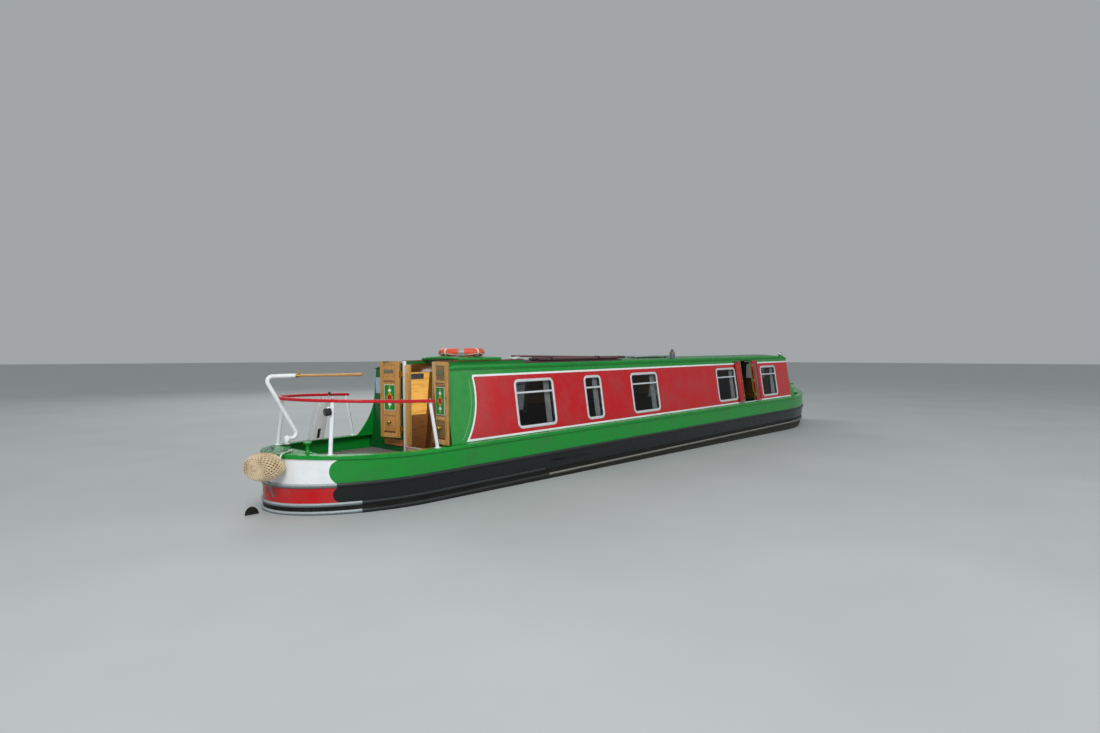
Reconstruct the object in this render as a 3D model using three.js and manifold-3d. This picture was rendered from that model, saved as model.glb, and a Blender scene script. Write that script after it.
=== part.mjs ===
// Canal narrowboat with a cruiser stern. Millimetres, +X to the bow, +Y to port, +Z up.
// The origin is the middle of the flat baseplate's underside. Stations are measured from the
// rear cabin bulkhead, forwards positive, and at(station) gives their X.
import * as THREE from "three";
import { mergeVertices } from "three/addons/utils/BufferGeometryUtils.js";
import Module from "manifold-3d";

const wasm = await Module();
wasm.setup();
const V = (x, y, z) => new THREE.Vector3(x, y, z);

// Main sizes
const GAP = 0.3; // clearance between pieces that touch
const BULKHEAD_X = -5800; // X of the rear cabin bulkhead
const at = (station) => BULKHEAD_X + station;
const STERN = -1930, STERN_RUN = 1600; // aftmost station, length of the rounded stern
const BOW_START = 10300, STEM = 13400; // where the sides start to close, foremost station
const HALF_BEAM = 1020, PLATE = 10; // to the outside of the side plates, plate thickness
const GUNWALE_Z = 1265, GUNWALE_W = 110, GUNWALE_T = 12, LIP_OUT = 20, LIP_H = 48;
const BASE_T = 12;
const UXTER_Z = 550, SWIM_START = 1900, SWIM_END = -1100; // counter bottom and tapered run
const FLOOR_Z = 1066, AFT_DECK = -1560, AFT_BREAK = -1400; // cockpit floor; aft deck; rail joint
const WELL_AFT = 10870, WELL_FORE = 12100, WELL_Z = 900, SHEER_START = 11400;
const CABIN_AFT = 50; // station of the rear bulkhead's outer face
const CABIN_HALF = 935, TUMBLE = 0.147, SIDE_T = 12; // cabin side at the gunwale, lean per mm
const ROOF_EDGE_Z = 2235, ROOF_RISE = 80, ROOF_HALF = 808, ROOF_T = 12;
const DOOR = { port: 45, stbd: -655, sill: 1160 };
const LEAF_W = 364, LEAF_T = 30, LEAF_Z0 = 1282, LEAF_Z1 = 2340, HINGE_S = -26; // rear doors
const DOOR_HINGE = { port: DOOR.port + 20, starboard: DOOR.stbd - 20 };
const DOOR_OPEN = { port: 168, starboard: 174 };
const LEAF_OUT = 7; // hinge line of the side hatch leaves, outside the cabin side
const STOCK = -1690, STOCK_R = 20, SHAFT_R = 19; // rudder stock's station; stock and shaft radii

// Shapes
function solid(geometry) {
  const g = geometry.clone();
  g.deleteAttribute("normal");
  g.deleteAttribute("uv");
  const m = mergeVertices(g, 1e-3);
  return new wasm.Manifold(new wasm.Mesh({
    numProp: 3,
    vertProperties: new Float32Array(m.attributes.position.array),
    triVerts: new Uint32Array(m.index.array),
  }));
}
function geometryOf(body) {
  const mesh = body.getMesh();
  const flat = new Float32Array(mesh.numVert * 3);
  for (let i = 0; i < mesh.numVert; i++) {
    for (let k = 0; k < 3; k++) flat[3 * i + k] = mesh.vertProperties[mesh.numProp * i + k];
  }
  const g = new THREE.BufferGeometry();
  g.setAttribute("position", new THREE.BufferAttribute(flat, 3));
  g.setIndex(new THREE.BufferAttribute(new Uint32Array(mesh.triVerts), 1));
  return g;
}
const join = (first, ...rest) => rest.reduce((a, b) => a.add(b), first);
const cut = (first, ...rest) => rest.reduce((a, b) => a.subtract(b), first);
const largest = (body) => body.decompose().sort((a, b) => b.volume() - a.volume())[0];
const BIG = 20000;
// The part of a body between two stations, on one side of the boat or on both
const between = (body, s0, s1, side = 0) => largest(body.intersect(box(at(s0) + GAP / 2,
  at(s1) - GAP / 2, side > 0 ? 0 : -BIG, side < 0 ? 0 : BIG, -BIG, BIG)));

// A box between two corners
function box(x0, x1, y0, y1, z0, z1) {
  const g = new THREE.BoxGeometry(x1 - x0, y1 - y0, z1 - z0);
  g.translate((x0 + x1) / 2, (y0 + y1) / 2, (z0 + z1) / 2);
  return solid(g);
}
// A round bar between two points
function rod(a, b, r, sides = 12, r2 = r) {
  const axis = b.clone().sub(a);
  const g = new THREE.CylinderGeometry(r2, r, axis.length(), sides);
  const turn = new THREE.Quaternion().setFromUnitVectors(V(0, 1, 0), axis.clone().normalize());
  g.applyQuaternion(turn);
  g.translate((a.x + b.x) / 2, (a.y + b.y) / 2, (a.z + b.z) / 2);
  return solid(g);
}
// A flat plate: outline in plan [[x, y], ...], extruded from z0 to z1
function plate(outline, z0, z1) {
  const shape = new THREE.Shape(outline.map(([x, y]) => new THREE.Vector2(x, y)));
  const g = new THREE.ExtrudeGeometry(shape, { depth: z1 - z0, bevelEnabled: false });
  g.translate(0, 0, z0);
  return solid(g);
}
// A plate standing across the boat: outline [[y, z], ...], from x0 to x1
function crossPlate(outline, x0, x1) {
  const shape = new THREE.Shape(outline.map(([y, z]) => new THREE.Vector2(y, z)));
  const g = new THREE.ExtrudeGeometry(shape, { depth: x1 - x0, bevelEnabled: false });
  g.applyMatrix4(new THREE.Matrix4().makeBasis(V(0, 1, 0), V(0, 0, 1), V(1, 0, 0)));
  g.translate(x0, 0, 0);
  return solid(g);
}
// A plate standing along the boat: outline [[x, z], ...], from y0 to y1
function longPlate(outline, y0, y1) {
  const shape = new THREE.Shape(outline.map(([x, z]) => new THREE.Vector2(x, z)));
  const g = new THREE.ExtrudeGeometry(shape, { depth: y1 - y0, bevelEnabled: false });
  g.applyMatrix4(new THREE.Matrix4().makeBasis(V(1, 0, 0), V(0, 0, 1), V(0, -1, 0)));
  g.translate(0, y1, 0);
  return solid(g);
}
// A closed body turned round the Z axis: profile [[radius, z], ...] from axis to axis
function turned(profile, sides = 24) {
  const g = new THREE.LatheGeometry(profile.map(([r, z]) => new THREE.Vector2(r, z)), sides);
  return solid(g.rotateX(Math.PI / 2));
}
// A closed wall between an outer and an inner grid of points with the same rows and columns
function wall(outer, inner) {
  const rows = outer.length, cols = outer[0].length;
  const points = [...outer.flat(), ...inner.flat()];
  const index = [];
  const id = (side, r, c) => side * rows * cols + r * cols + c;
  const quad = (a, b, c, d) => index.push(a, b, c, a, c, d);
  for (let r = 0; r < rows - 1; r++) {
    for (let c = 0; c < cols - 1; c++) {
      quad(id(0, r, c), id(0, r, c + 1), id(0, r + 1, c + 1), id(0, r + 1, c));
      quad(id(1, r, c), id(1, r + 1, c), id(1, r + 1, c + 1), id(1, r, c + 1));
    }
  }
  for (let c = 0; c < cols - 1; c++) {
    quad(id(0, 0, c + 1), id(0, 0, c), id(1, 0, c), id(1, 0, c + 1));
    quad(id(0, rows - 1, c), id(0, rows - 1, c + 1), id(1, rows - 1, c + 1), id(1, rows - 1, c));
  }
  for (let r = 0; r < rows - 1; r++) {
    quad(id(0, r, 0), id(0, r + 1, 0), id(1, r + 1, 0), id(1, r, 0));
    quad(id(0, r + 1, cols - 1), id(0, r, cols - 1), id(1, r, cols - 1), id(1, r + 1, cols - 1));
  }
  return closedBody(points, index);
}
function closedBody(points, index) {
  const g = new THREE.BufferGeometry();
  g.setAttribute("position", new THREE.BufferAttribute(
    new Float32Array(points.flatMap((p) => [p.x, p.y, p.z])), 3));
  g.setIndex(index);
  let body = solid(g);
  if (body.volume() < 0) {
    for (let i = 0; i < index.length; i += 3) {
      [index[i + 1], index[i + 2]] = [index[i + 2], index[i + 1]];
    }
    g.setIndex(index);
    body = solid(g);
  }
  return body;
}
// A bar of one section swept through frames; ring closes it on itself
function sweep(frames, ring = false) {
  const n = frames.length, m = frames[0].length, index = [];
  const id = (i, j) => (i % n) * m + (j % m);
  for (let i = 0; i < (ring ? n : n - 1); i++) {
    for (let j = 0; j < m; j++) {
      index.push(id(i, j), id(i, j + 1), id(i + 1, j + 1), id(i, j), id(i + 1, j + 1), id(i + 1, j));
    }
  }
  if (!ring) {
    const flat = frames[0].map((p) => p.clone());
    const cap = capTriangles(flat);
    for (const [a, b, c] of cap) {
      index.push(id(0, a), id(0, c), id(0, b));
      index.push(id(n - 1, a), id(n - 1, b), id(n - 1, c));
    }
  }
  return closedBody(frames.flat(), index);
}
function capTriangles(loop) {
  const centre = loop[0], x = loop[1].clone().sub(centre).normalize();
  let normal = V(0, 0, 0);
  loop.forEach((p, i) => normal.add(p.clone().sub(centre).cross(
    loop[(i + 1) % loop.length].clone().sub(centre))));
  normal.normalize();
  const y = normal.clone().cross(x);
  const flat = loop.map((p) => {
    const d = p.clone().sub(centre);
    return new THREE.Vector2(d.dot(x), d.dot(y));
  });
  return THREE.ShapeUtils.triangulateShape(flat, []);
}
// A round tube along a smooth path
function tube(points, r, sides = 10, steps = 24, tension = 0.5) {
  const path = new THREE.CatmullRomCurve3(points, false, "catmullrom", tension);
  const ring = new THREE.Shape();
  ring.absarc(0, 0, r, 0, Math.PI * 2, false);
  return solid(new THREE.ExtrudeGeometry(ring, {
    steps, extrudePath: path, curveSegments: sides, bevelEnabled: false,
  }));
}

// Hull lines
const lerp = (a, b, t) => a + (b - a) * t;
function table(rows, x) {
  let i = 1;
  while (i < rows.length - 1 && x > rows[i][0]) i++;
  const [[x0, y0], [x1, y1]] = [rows[i - 1], rows[i]];
  return lerp(y0, y1, Math.min(1, Math.max(0, (x - x0) / (x1 - x0))));
}
const STEM_PROFILE = [[0, 12300], [150, 12700], [350, 13060], [600, 13340], [950, STEM],
  [1370, STEM - 80]]; // height, station
function gunwaleZ(station) {
  if (station < -500) return GUNWALE_Z + 55 * Math.pow((-500 - station) / 1430, 1.5);
  if (station > SHEER_START) {
    return GUNWALE_Z + 105 * Math.pow((station - SHEER_START) / (STEM - SHEER_START), 1.6);
  }
  return GUNWALE_Z;
}
// Points of the hull's plan from the stern's middle along one side to the stem, at one height.
// Each has a station, a half-breadth, and the outward direction in plan.
function planLine(z, from, to, counts = [10, 3, 12], fine = 0) {
  const stem = table(STEM_PROFILE, z), start = BOW_START - (STEM - stem) * 0.4;
  const list = [];
  for (let i = 0; i <= counts[0]; i++) {
    const a = (Math.PI / 2) * (i / counts[0]);
    list.push([STERN + STERN_RUN * (1 - Math.cos(a)), HALF_BEAM * Math.sin(a)]);
  }
  for (let i = 1; i < counts[1]; i++) {
    list.push([lerp(STERN + STERN_RUN, start, i / counts[1]), HALF_BEAM]);
  }
  const power = lerp(1.12, 1.35, Math.min(1, z / 950));
  for (let i = 0; i <= counts[2]; i++) {
    const u = i / counts[2];
    list.push([lerp(start, stem, u), HALF_BEAM * Math.cos((Math.PI / 2) * Math.pow(u, power))]);
  }
  const line = list.map(([s, y], i) => {
    const [s0, y0] = list[Math.max(0, i - 1)], [s1, y1] = list[Math.min(list.length - 1, i + 1)];
    const length = Math.hypot(s1 - s0, y1 - y0);
    return { s, y, ns: -(y1 - y0) / length, ny: (s1 - s0) / length };
  });
  Object.assign(line[0], { ns: -1, ny: 0 });
  return clip(line, from, to, fine);
}
function clip(line, from, to) {
  const out = [];
  const mix = (a, b, t) => ({
    s: lerp(a.s, b.s, t), y: lerp(a.y, b.y, t), ns: lerp(a.ns, b.ns, t), ny: lerp(a.ny, b.ny, t),
  });
  for (let i = 0; i < line.length; i++) {
    const p = line[i], q = line[i + 1];
    if (p.s >= from && p.s <= to) out.push(p);
    if (q && p.s < from && q.s > from) out.push(mix(p, q, (from - p.s) / (q.s - p.s)));
    if (q && p.s < to && q.s > to) out.push(mix(p, q, (to - p.s) / (q.s - p.s)));
  }
  return out;
}
const inset = (p, w) => ({ s: p.s - p.ns * w, y: p.y < 1 ? 0 : Math.max(0, p.y - p.ny * w) });

// One side of the hull between two stations: rows of plan lines at several heights
// grow makes it larger all over, to cut a neighbour back to the gap that touching pieces keep.
function sidePlate(side, from, to, heights, counts, grow = 0) {
  const rows = heights.map((h) => {
    const line = planLine(h.z, from, to, counts);
    return line.map((p) => {
      const z = h.top ? gunwaleZ(p.s) - GUNWALE_T - GAP + grow : h.z - (h.low ? grow : 0);
      return { ...p, z };
    });
  });
  const stemCut = to >= STEM;
  const point = (p, w) => {
    const q = w ? inset(p, w) : p;
    return V(at(q.s), side * Math.max(q.y, middle), p.z);
  };
  const middle = grow ? -1 : GAP / 2;
  const outer = rows.map((row) => row.map((p, i) => {
    if (grow && i === 0 && p.y < 1) return V(at(p.s - grow), side * middle, p.z);
    if (grow && stemCut && i === row.length - 1) return V(at(p.s + 8 * grow), side * middle, p.z);
    return point(p, -grow);
  }));
  const inner = rows.map((row) => row.map((p, i) => {
    if (i === 0 && p.y < 1) return V(at(p.s + PLATE + grow), side * middle, p.z);
    if (stemCut && i === row.length - 1) return V(at(p.s - PLATE * 2 - grow), side * middle, p.z);
    return point(p, PLATE + grow);
  }));
  return wall(outer, inner);
}

const nodes = [];
function add(name, body, colour, roughness = 0.5, metalness = 0) {
  nodes.push({ name, body, colour, roughness, metalness });
}
const SIDES = [["port", 1], ["starboard", -1]];
const GREEN = 0x1f8f3a, RED = 0xc4161c, BLACK = 0x15181a, STEEL = 0x6a6f70, WOOD = 0xb9803c;
const WHITE = 0xf2f5f7, GREY = 0x8c8c90, BRASS = 0xc9a24a;

// Hull
const swimHalf = (s) => {
  const u = Math.min(1, Math.max(0, (s - SWIM_END) / (SWIM_START - SWIM_END)));
  return 60 + (HALF_BEAM - 60) * (1 - Math.pow(1 - u, 2.2)) ** 0.9;
};
const halves = (list) => [...list, ...list.slice().reverse().filter((p) => p[1] > 1)
  .map(([x, y]) => [x, -y])];
{
  const outline = [[at(STERN + 40), 40], [at(SWIM_END - 60), 40]];
  for (let i = 0; i <= 8; i++) {
    const s = lerp(SWIM_END, SWIM_START, i / 8);
    outline.push([at(s), swimHalf(s) + 12]);
  }
  for (const p of planLine(0, SWIM_START + 400, STEM, [10, 2, 9])) {
    outline.push([at(p.s + p.ns * 12), p.y + p.ny * 12]);
  }
  outline[outline.length - 1][1] = 0;
  const skeg = rod(V(at(STOCK), 0, BASE_T - 2), V(at(STOCK), 0, 52), 42, 16);
  const cup = rod(V(at(STOCK), 0, 30), V(at(STOCK), 0, 60), STOCK_R + 0.9, 16);
  add("baseplate", cut(join(plate(halves(outline), 0, BASE_T), skeg), cup), BLACK, 0.8, 0.3);
}
function hullSide(side, grow) {
  const top = [{ z: UXTER_Z + GAP, low: true }, { z: 1180, top: true }];
  const full = [{ z: BASE_T + GAP, low: true }, { z: 350 }, { z: 650 }, { z: 950 },
    { z: 1180, top: true }];
  const counter = sidePlate(side, STERN, SWIM_START + 20, top, [12, 2, 2], grow);
  const forward = sidePlate(side, SWIM_START - grow, STEM, full, [10, 2, 11], grow);
  return join(counter, forward);
}
for (const [name, side] of SIDES) add("hull_side_" + name, hullSide(side, 0), GREEN, 0.35);
const hullRoom = join(hullSide(1, GAP), hullSide(-1, GAP));
const clearOfHull = (body) => largest(cut(body, hullRoom));
{
  const rows = 9;
  const panel = (side) => {
    const grid = (w) => [BASE_T + GAP, UXTER_Z - 20].map((z) =>
      Array.from({ length: rows }, (_, i) => {
        const s = lerp(SWIM_END, SWIM_START - GAP, i / (rows - 1));
        return V(at(s), side * (swimHalf(s) - w), z);
      }));
    return wall(grid(0), grid(PLATE));
  };
  const outline = halves(planLine(UXTER_Z, STERN, SWIM_START - GAP, [10, 2, 2])
    .map((p) => [at(p.s), p.y]));
  const post = box(at(SWIM_END) - 30, at(SWIM_END) + 30, -60, 60, BASE_T + GAP, UXTER_Z - 5);
  const tubeBody = rod(V(at(STOCK), 0, UXTER_Z - 15), V(at(STOCK), 0, 1352), 34, 16);
  const bore = rod(V(at(STOCK), 0, UXTER_Z - 60), V(at(STOCK), 0, 1400), 26, 16);
  const sternTube = rod(V(at(SWIM_END) - 70, 0, 300), V(at(SWIM_END) + 40, 0, 300), 38, 16);
  const shaftBore = rod(V(at(SWIM_END) - 80, 0, 300), V(at(SWIM_END) + 60, 0, 300), SHAFT_R + 0.9, 16);
  const engineHole = box(at(-720) - GAP, at(40) + GAP, -230 - GAP, 230 + GAP, UXTER_Z - 40, UXTER_Z + 10);
  add("swim_and_counter_bottom", cut(join(plate(outline, UXTER_Z - 30, UXTER_Z), panel(1),
    panel(-1), post, tubeBody, sternTube), bore, shaftBore, engineHole), BLACK, 0.7, 0.2);
}
// Rubbing strakes: flat bars round the outside at one height
function strake(z, height, out, from, ring) {
  const half = planLine(z, from, STEM, [10, 3, 12]);
  const section = (p, side) => {
    const point = (w, dz) => V(at(p.s + p.ns * w), side * (p.y + p.ny * w), z + dz);
    return [point(-4, -height / 2), point(out, -height / 2 + 6), point(out, height / 2 - 6),
      point(-4, height / 2)];
  };
  const tip = half[half.length - 1];
  const point = (w, dz) => V(at(tip.s + w * 1.9), 0, z + dz);
  const nose = [point(-4, -height / 2), point(out, -height / 2 + 6), point(out, height / 2 - 6),
    point(-4, height / 2)];
  const aft = [...half.slice(ring ? 1 : 0, -1)];
  const frames = [nose, ...aft.slice().reverse().map((p) => section(p, 1))];
  if (ring) frames.push(section(half[0], 1));
  frames.push(...aft.map((p) => section(p, -1)));
  return clearOfHull(sweep(frames, true));
}
add("strake_top", strake(952, 50, 20, STERN, true), STEEL, 0.5, 0.4);
add("strake_waterline", strake(640, 44, 20, STERN, true), STEEL, 0.6, 0.4);
{
  const half = planLine(733, STERN, 1700, [10, 2, 2]);
  const section = (p, side) => [[-4, -22], [18, -16], [18, 16], [-4, 22]].map(([w, dz]) =>
    V(at(p.s + p.ns * w), side * (p.y + p.ny * w), 733 + dz));
  const frames = [...half.slice().reverse().map((p) => section(p, 1)),
    ...half.slice(1).map((p) => section(p, -1))];
  add("strake_stern", clearOfHull(sweep(frames)), STEEL, 0.5, 0.4);
}
// Gunwale: a flat margin with a turned-down lip, round the stern and along both sides
let gunwale;
{
  const half = planLine(1180, STERN, WELL_FORE - GAP, [14, 8, 12]);
  const section = (p, side) => {
    const z = gunwaleZ(p.s), w = GUNWALE_W;
    return [[LIP_OUT, 0], [LIP_OUT, -LIP_H], [-4, -LIP_H], [-4, -GUNWALE_T],
      [-w, -GUNWALE_T], [-w, 0]].map(([o, dz]) =>
      V(at(p.s + p.ns * o), side * Math.max(0, p.y + p.ny * o), z + dz));
  };
  const frames = [...half.slice().reverse().map((p) => section(p, 1)),
    ...half.slice(1).map((p) => section(p, -1))];
  gunwale = clearOfHull(sweep(frames));
  for (const [name, side] of SIDES) {
    add("gunwale_" + name + "_aft", between(gunwale, AFT_BREAK, CABIN_AFT, side), GREEN, 0.35);
    add("gunwale_" + name, between(gunwale, CABIN_AFT, WELL_AFT, side), GREEN, 0.35);
    add("gunwale_" + name + "_fore", between(gunwale, WELL_AFT, WELL_FORE + 10, side), GREEN, 0.35);
  }
}
// Decks
{
  const fore = CABIN_AFT - GAP;
  const line = planLine(FLOOR_Z, AFT_DECK - 20, fore, [12, 2, 2]).map((p) => inset(p, 5))
    .map((p) => [at(Math.max(AFT_DECK + GAP, Math.min(p.s, fore))), p.y]);
  add("cockpit_floor", clearOfHull(plate(halves(line), FLOOR_Z - 30, FLOOR_Z)), GREY, 0.8);
  // aft deck: a plate inside the stern's gunwale, its front edge turned down to the floor
  const grid = (drop) => planLine(1180, STERN, AFT_DECK + 120, [24, 2, 2]).map((p) => {
    const q = inset(p, GUNWALE_W - 10);
    return [-1, -0.5, 0, 0.5, 1].map((t) => V(at(q.s), t * Math.max(q.y, 2), gunwaleZ(p.s) - drop));
  });
  const slab = wall(grid(1), grid(11)).intersect(box(at(STERN), at(AFT_DECK), -1100, 1100, 1200, 1400));
  const front = join(box(at(AFT_DECK) - 10, at(AFT_DECK), -645, 645, FLOOR_Z - 29, 1280),
    box(at(AFT_DECK) - 10, at(AFT_DECK), -485, 485, 1260, 1297));
  const hole = rod(V(at(STOCK), 0, 1200), V(at(STOCK), 0, 1400), 36, 16);
  const dolly = turned([[0, 0], [55, 0], [55, 12], [26, 26], [20, 66], [26, 108], [48, 124],
    [48, 140], [0, 140]], 16).translate([at(-1630), -380, 1302]);
  const stern = between(gunwale, STERN - 100, AFT_BREAK);
  add("aft_deck", largest(join(clearOfHull(cut(join(slab, front), hole)), stern, dolly)), GREEN, 0.4);
}
{
  const line = planLine(WELL_Z, WELL_AFT + GAP, WELL_FORE - GAP, [2, 2, 12])
    .map((p) => inset(p, 5))
    .map((p) => [at(Math.max(WELL_AFT + GAP, Math.min(p.s, WELL_FORE - GAP))), p.y]);
  add("well_floor", clearOfHull(plate(halves(line), WELL_Z - 20, WELL_Z)), GREY, 0.8);
  const rim = (o, dz, from) => planLine(1180, from, STEM, [2, 2, 12]).map((p) =>
    V(at(p.s + p.ns * o), Math.max(0.5, p.y + p.ny * o), gunwaleZ(p.s) + dz));
  const top = rim(LIP_OUT, 0, WELL_FORE);
  const slabGrid = (dz) => top.map((p) => [-1, -0.5, 0, 0.5, 1].map((t) =>
    V(p.x, t * p.y, p.z + dz)));
  const lip = (side) => {
    const a = rim(LIP_OUT, -2, WELL_FORE), b = rim(-4, -2, WELL_FORE);
    const g = (list, dz) => list.map((p) => V(p.x, side * p.y, p.z + dz));
    const outer = [g(a, -LIP_H + 2), g(a, 0)], inner = [g(b, -LIP_H + 2), g(b, 0)];
    return wall(outer, inner);
  };
  const back = crossPlate(boundsAt(WELL_FORE, WELL_Z - 20, 9), at(WELL_FORE), at(WELL_FORE) + 8);
  const hole = box(at(12450), at(12850), -200, 200, 1200, 1500);
  const body = join(wall(slabGrid(0), slabGrid(-GUNWALE_T)), back, lip(1), lip(-1));
  const x = at(13080), z = gunwaleZ(13106);
  const stud = join(rod(V(x, 0, z - 6), V(x, 0, z + 130), 24, 14),
    rod(V(x, -90, z + 112), V(x, 90, z + 112), 20, 12));
  add("bow_deck", join(clearOfHull(cut(body, hole)), stud), GREEN, 0.4);
}
function boundsAt(station, z0, w) {
  const at0 = (z) => {
    const line = planLine(z, station, station + 200, [2, 2, 24]);
    return line[0].y - w;
  };
  const top = gunwaleZ(station) - GUNWALE_T + 2;
  return [[-at0(z0), z0], [at0(z0), z0], [at0(950), 950], [at0(1180), top], [-at0(1180), top],
    [-at0(950), 950]];
}

// Cabin
const sideY = (z) => CABIN_HALF - TUMBLE * (z - GUNWALE_Z);
const roofZ = (y) => ROOF_EDGE_Z + ROOF_RISE * (1 - (y / ROOF_HALF) ** 2);
const CABIN_FRONT = WELL_AFT;
// station ranges of the windows and of the side hatch, seen from starboard and from port alike
const WINDOWS = [[1289, 2098], [2860, 3278], [4145, 4960], [7219, 8040], [9328, 10123]];
const HATCH = [8330, 8880], WINDOW_Z = [1367, 2044], HATCH_Z = [1280, 2215];
{
  // bulkheads stand between the cabin sides, and below the gunwale between the hull sides
  const half = (z) => sideY(z) - SIDE_T - GAP;
  const under = GUNWALE_Z - GUNWALE_T - GAP, over = GUNWALE_Z + GAP;
  const outline = (wide, ring, bottom) => {
    const edge = [[wide, bottom], [wide, under], [ring, under], [ring, over], [half(over), over],
      [half(2223), 2223]];
    const arc = Array.from({ length: 15 }, (_, i) => {
      const y = lerp(half(2223) - 4, -half(2223) + 4, i / 14);
      return [y, roofZ(y) - ROOF_T - 1];
    });
    return [...edge, ...arc, ...edge.reverse().map(([y, z]) => [-y, z])];
  };
  const doorway = box(at(-60), at(140), DOOR.stbd, DOOR.port, DOOR.sill, 2500);
  add("rear_bulkhead", cut(crossPlate(outline(1004, 909.5, FLOOR_Z - 200),
    at(CABIN_AFT), at(CABIN_AFT + 20)), doorway), GREEN, 0.4);
  const frontDoor = box(at(CABIN_FRONT) - 60, at(CABIN_FRONT) + 60, -320, 320, 1180, 2130);
  const bowPins = [1, -1].flatMap((side) => [1300, 1940].flatMap((z) => [
    rod(V(at(CABIN_FRONT), side * 316, z), V(at(CABIN_FRONT), side * 316, z + 60), 3.2, 12),
    box(at(CABIN_FRONT) - 3, at(CABIN_FRONT), Math.min(side * 316, side * 322),
      Math.max(side * 316, side * 322), z, z + 60)]));
  add("front_bulkhead", join(cut(crossPlate(outline(980, 891, WELL_Z - 200),
    at(CABIN_FRONT - 20), at(CABIN_FRONT)), frontDoor), ...bowPins), GREEN, 0.4);
  // door frame: two posts on the bulkhead, joined by a sill, with the pins of the door leaves
  const inFrame = (y0, y1, z0, z1) => box(at(CABIN_AFT - 36), at(CABIN_AFT) - GAP, y0, y1, z0, z1);
  const pins = (y, side) => [1400, 1780, 2160].flatMap((z) => [
    rod(V(at(HINGE_S), y, z), V(at(HINGE_S), y, z + 70), 5.3, 16),
    box(at(HINGE_S), at(CABIN_AFT - 34), Math.min(y - side * 2, y + side * 5),
      Math.max(y - side * 2, y + side * 5), z, z + 70)]);
  add("door_frame", join(inFrame(DOOR.port, DOOR.port + 38, FLOOR_Z + GAP, 2340),
    inFrame(DOOR.stbd - 38, DOOR.stbd, FLOOR_Z + GAP, 2340),
    inFrame(DOOR.stbd - 10, DOOR.port + 10, DOOR.sill - 60, DOOR.sill - 2),
    ...pins(DOOR_HINGE.port, 1), ...pins(DOOR_HINGE.starboard, -1)), WOOD, 0.45);
}
for (const [name, side] of SIDES) {
  const z0 = GUNWALE_Z + GAP, z1 = ROOF_EDGE_Z - 10;
  const skin = (w, s, z) => V(at(s), side * (sideY(z) - w), z);
  const grid = (w) => [z0, z1].map((z) =>
    [CABIN_AFT, 4000, CABIN_FRONT].map((s) => skin(w, s, z)));
  let body = wall(grid(0), grid(SIDE_T));
  const heights = [0, 0.15, 0.35, 0.6, 0.85, 1];
  const wing = (s0, reach, tall) => {
    const g = (w) => heights.map((h) => {
      const z = lerp(z0, z0 + tall, h);
      return [s0, s0 + reach * (1 - h) ** 2 + Math.sign(reach) * 6].map((s) => skin(w, s, z));
    });
    return wall(g(0), g(SIDE_T));
  };
  body = join(body, wing(CABIN_FRONT - 5, 280, 620));
  if (side > 0) body = join(body, wing(CABIN_AFT + 5, -245, 560));
  for (const [a, b] of WINDOWS) {
    body = cut(body, box(at(a), at(b), Math.min(side * 600, side * 1100),
      Math.max(side * 600, side * 1100), ...WINDOW_Z));
  }
  body = cut(body, box(at(HATCH[0]), at(HATCH[1]), Math.min(side * 600, side * 1100),
    Math.max(side * 600, side * 1100), HATCH_Z[0] + 8, HATCH_Z[1] - 12));
  for (const [hinge, dir] of [[HATCH[0], -1], [HATCH[1], 1]]) {
    for (const z of [1400, 1720, 2060]) {
      const lug = (w) => [z, z + 60].map((h) =>
        [hinge, hinge + dir * 6].map((s) => skin(w, s, h)));
      const pin = rod(skin(-LEAF_OUT, hinge, z), skin(-LEAF_OUT, hinge, z + 60), 6.7, 16);
      body = join(body, pin, wall(lug(-LEAF_OUT), lug(4)));
    }
  }
  add("cabin_side_" + name, body, RED, 0.4);
  // windows: a frame round a pane, leaning with the cabin side
  WINDOWS.forEach(([a, b], i) => {
    const lay = (w, s, z) => V(at(s), side * (sideY(z) - w), z);
    const block = (s0, s1, zz0, zz1, w0, w1) => {
      const g = (w) => [zz0, zz1].map((z) => [s0, s1].map((s) => lay(w, s, z)));
      return wall(g(w0), g(w1));
    };
    const [wz0, wz1] = WINDOW_Z;
    const flange = block(a - 16, b + 16, wz0 - 16, wz1 + 16, -6, -GAP);
    const rim = block(a + 2, b - 2, wz0 + 2, wz1 - 2, -5, 9);
    const sight = box(at(a + 14), at(b - 14), side > 0 ? 600 : -1100, side > 0 ? 1100 : -600,
      wz0 + 14, wz1 - 14);
    const pane = block(a + 9, b - 9, wz0 + 9, wz1 - 9, 2, 6);
    const hopper = block(a + 7, b - 7, wz1 - 190, wz1 - 170, -4, 8);
    add("window_" + name + "_" + (i + 1), join(cut(join(flange, rim), sight), pane, hopper),
      0x22282a, 0.2, 0.1);
  });
}
{
  const grid = (drop) => Array.from({ length: 13 }, (_, i) => {
    const y = lerp(-ROOF_HALF, ROOF_HALF, i / 12);
    return [CABIN_AFT - 15, 4000, CABIN_FRONT + 20].map((s) => V(at(s), y, roofZ(y) - drop));
  });
  const runners = [DOOR.port + 50, DOOR.stbd - 50].map((y) =>
    box(at(CABIN_AFT - 15), at(1600), y - 9, y + 9, roofZ(y) - 8, 2350));
  const opening = box(at(-60), at(740), DOOR.stbd - 40, DOOR.port + 40, 2100, 2340);
  // handrails: bars along the roof's edges, tapered at their ends
  const rails = [1, -1].map((side) => {
    const y = side * (ROOF_HALF - 34), z = roofZ(ROOF_HALF - 48) - 10;
    return longPlate([[at(90), z], [at(CABIN_FRONT - 60), z], [at(CABIN_FRONT - 180), z + 52],
      [at(230), z + 52]], y - 14, y + 14);
  });
  add("roof", join(cut(wall(grid(0), grid(ROOF_T)), opening), ...runners, ...rails), GREEN, 0.4);
}
{
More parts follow.
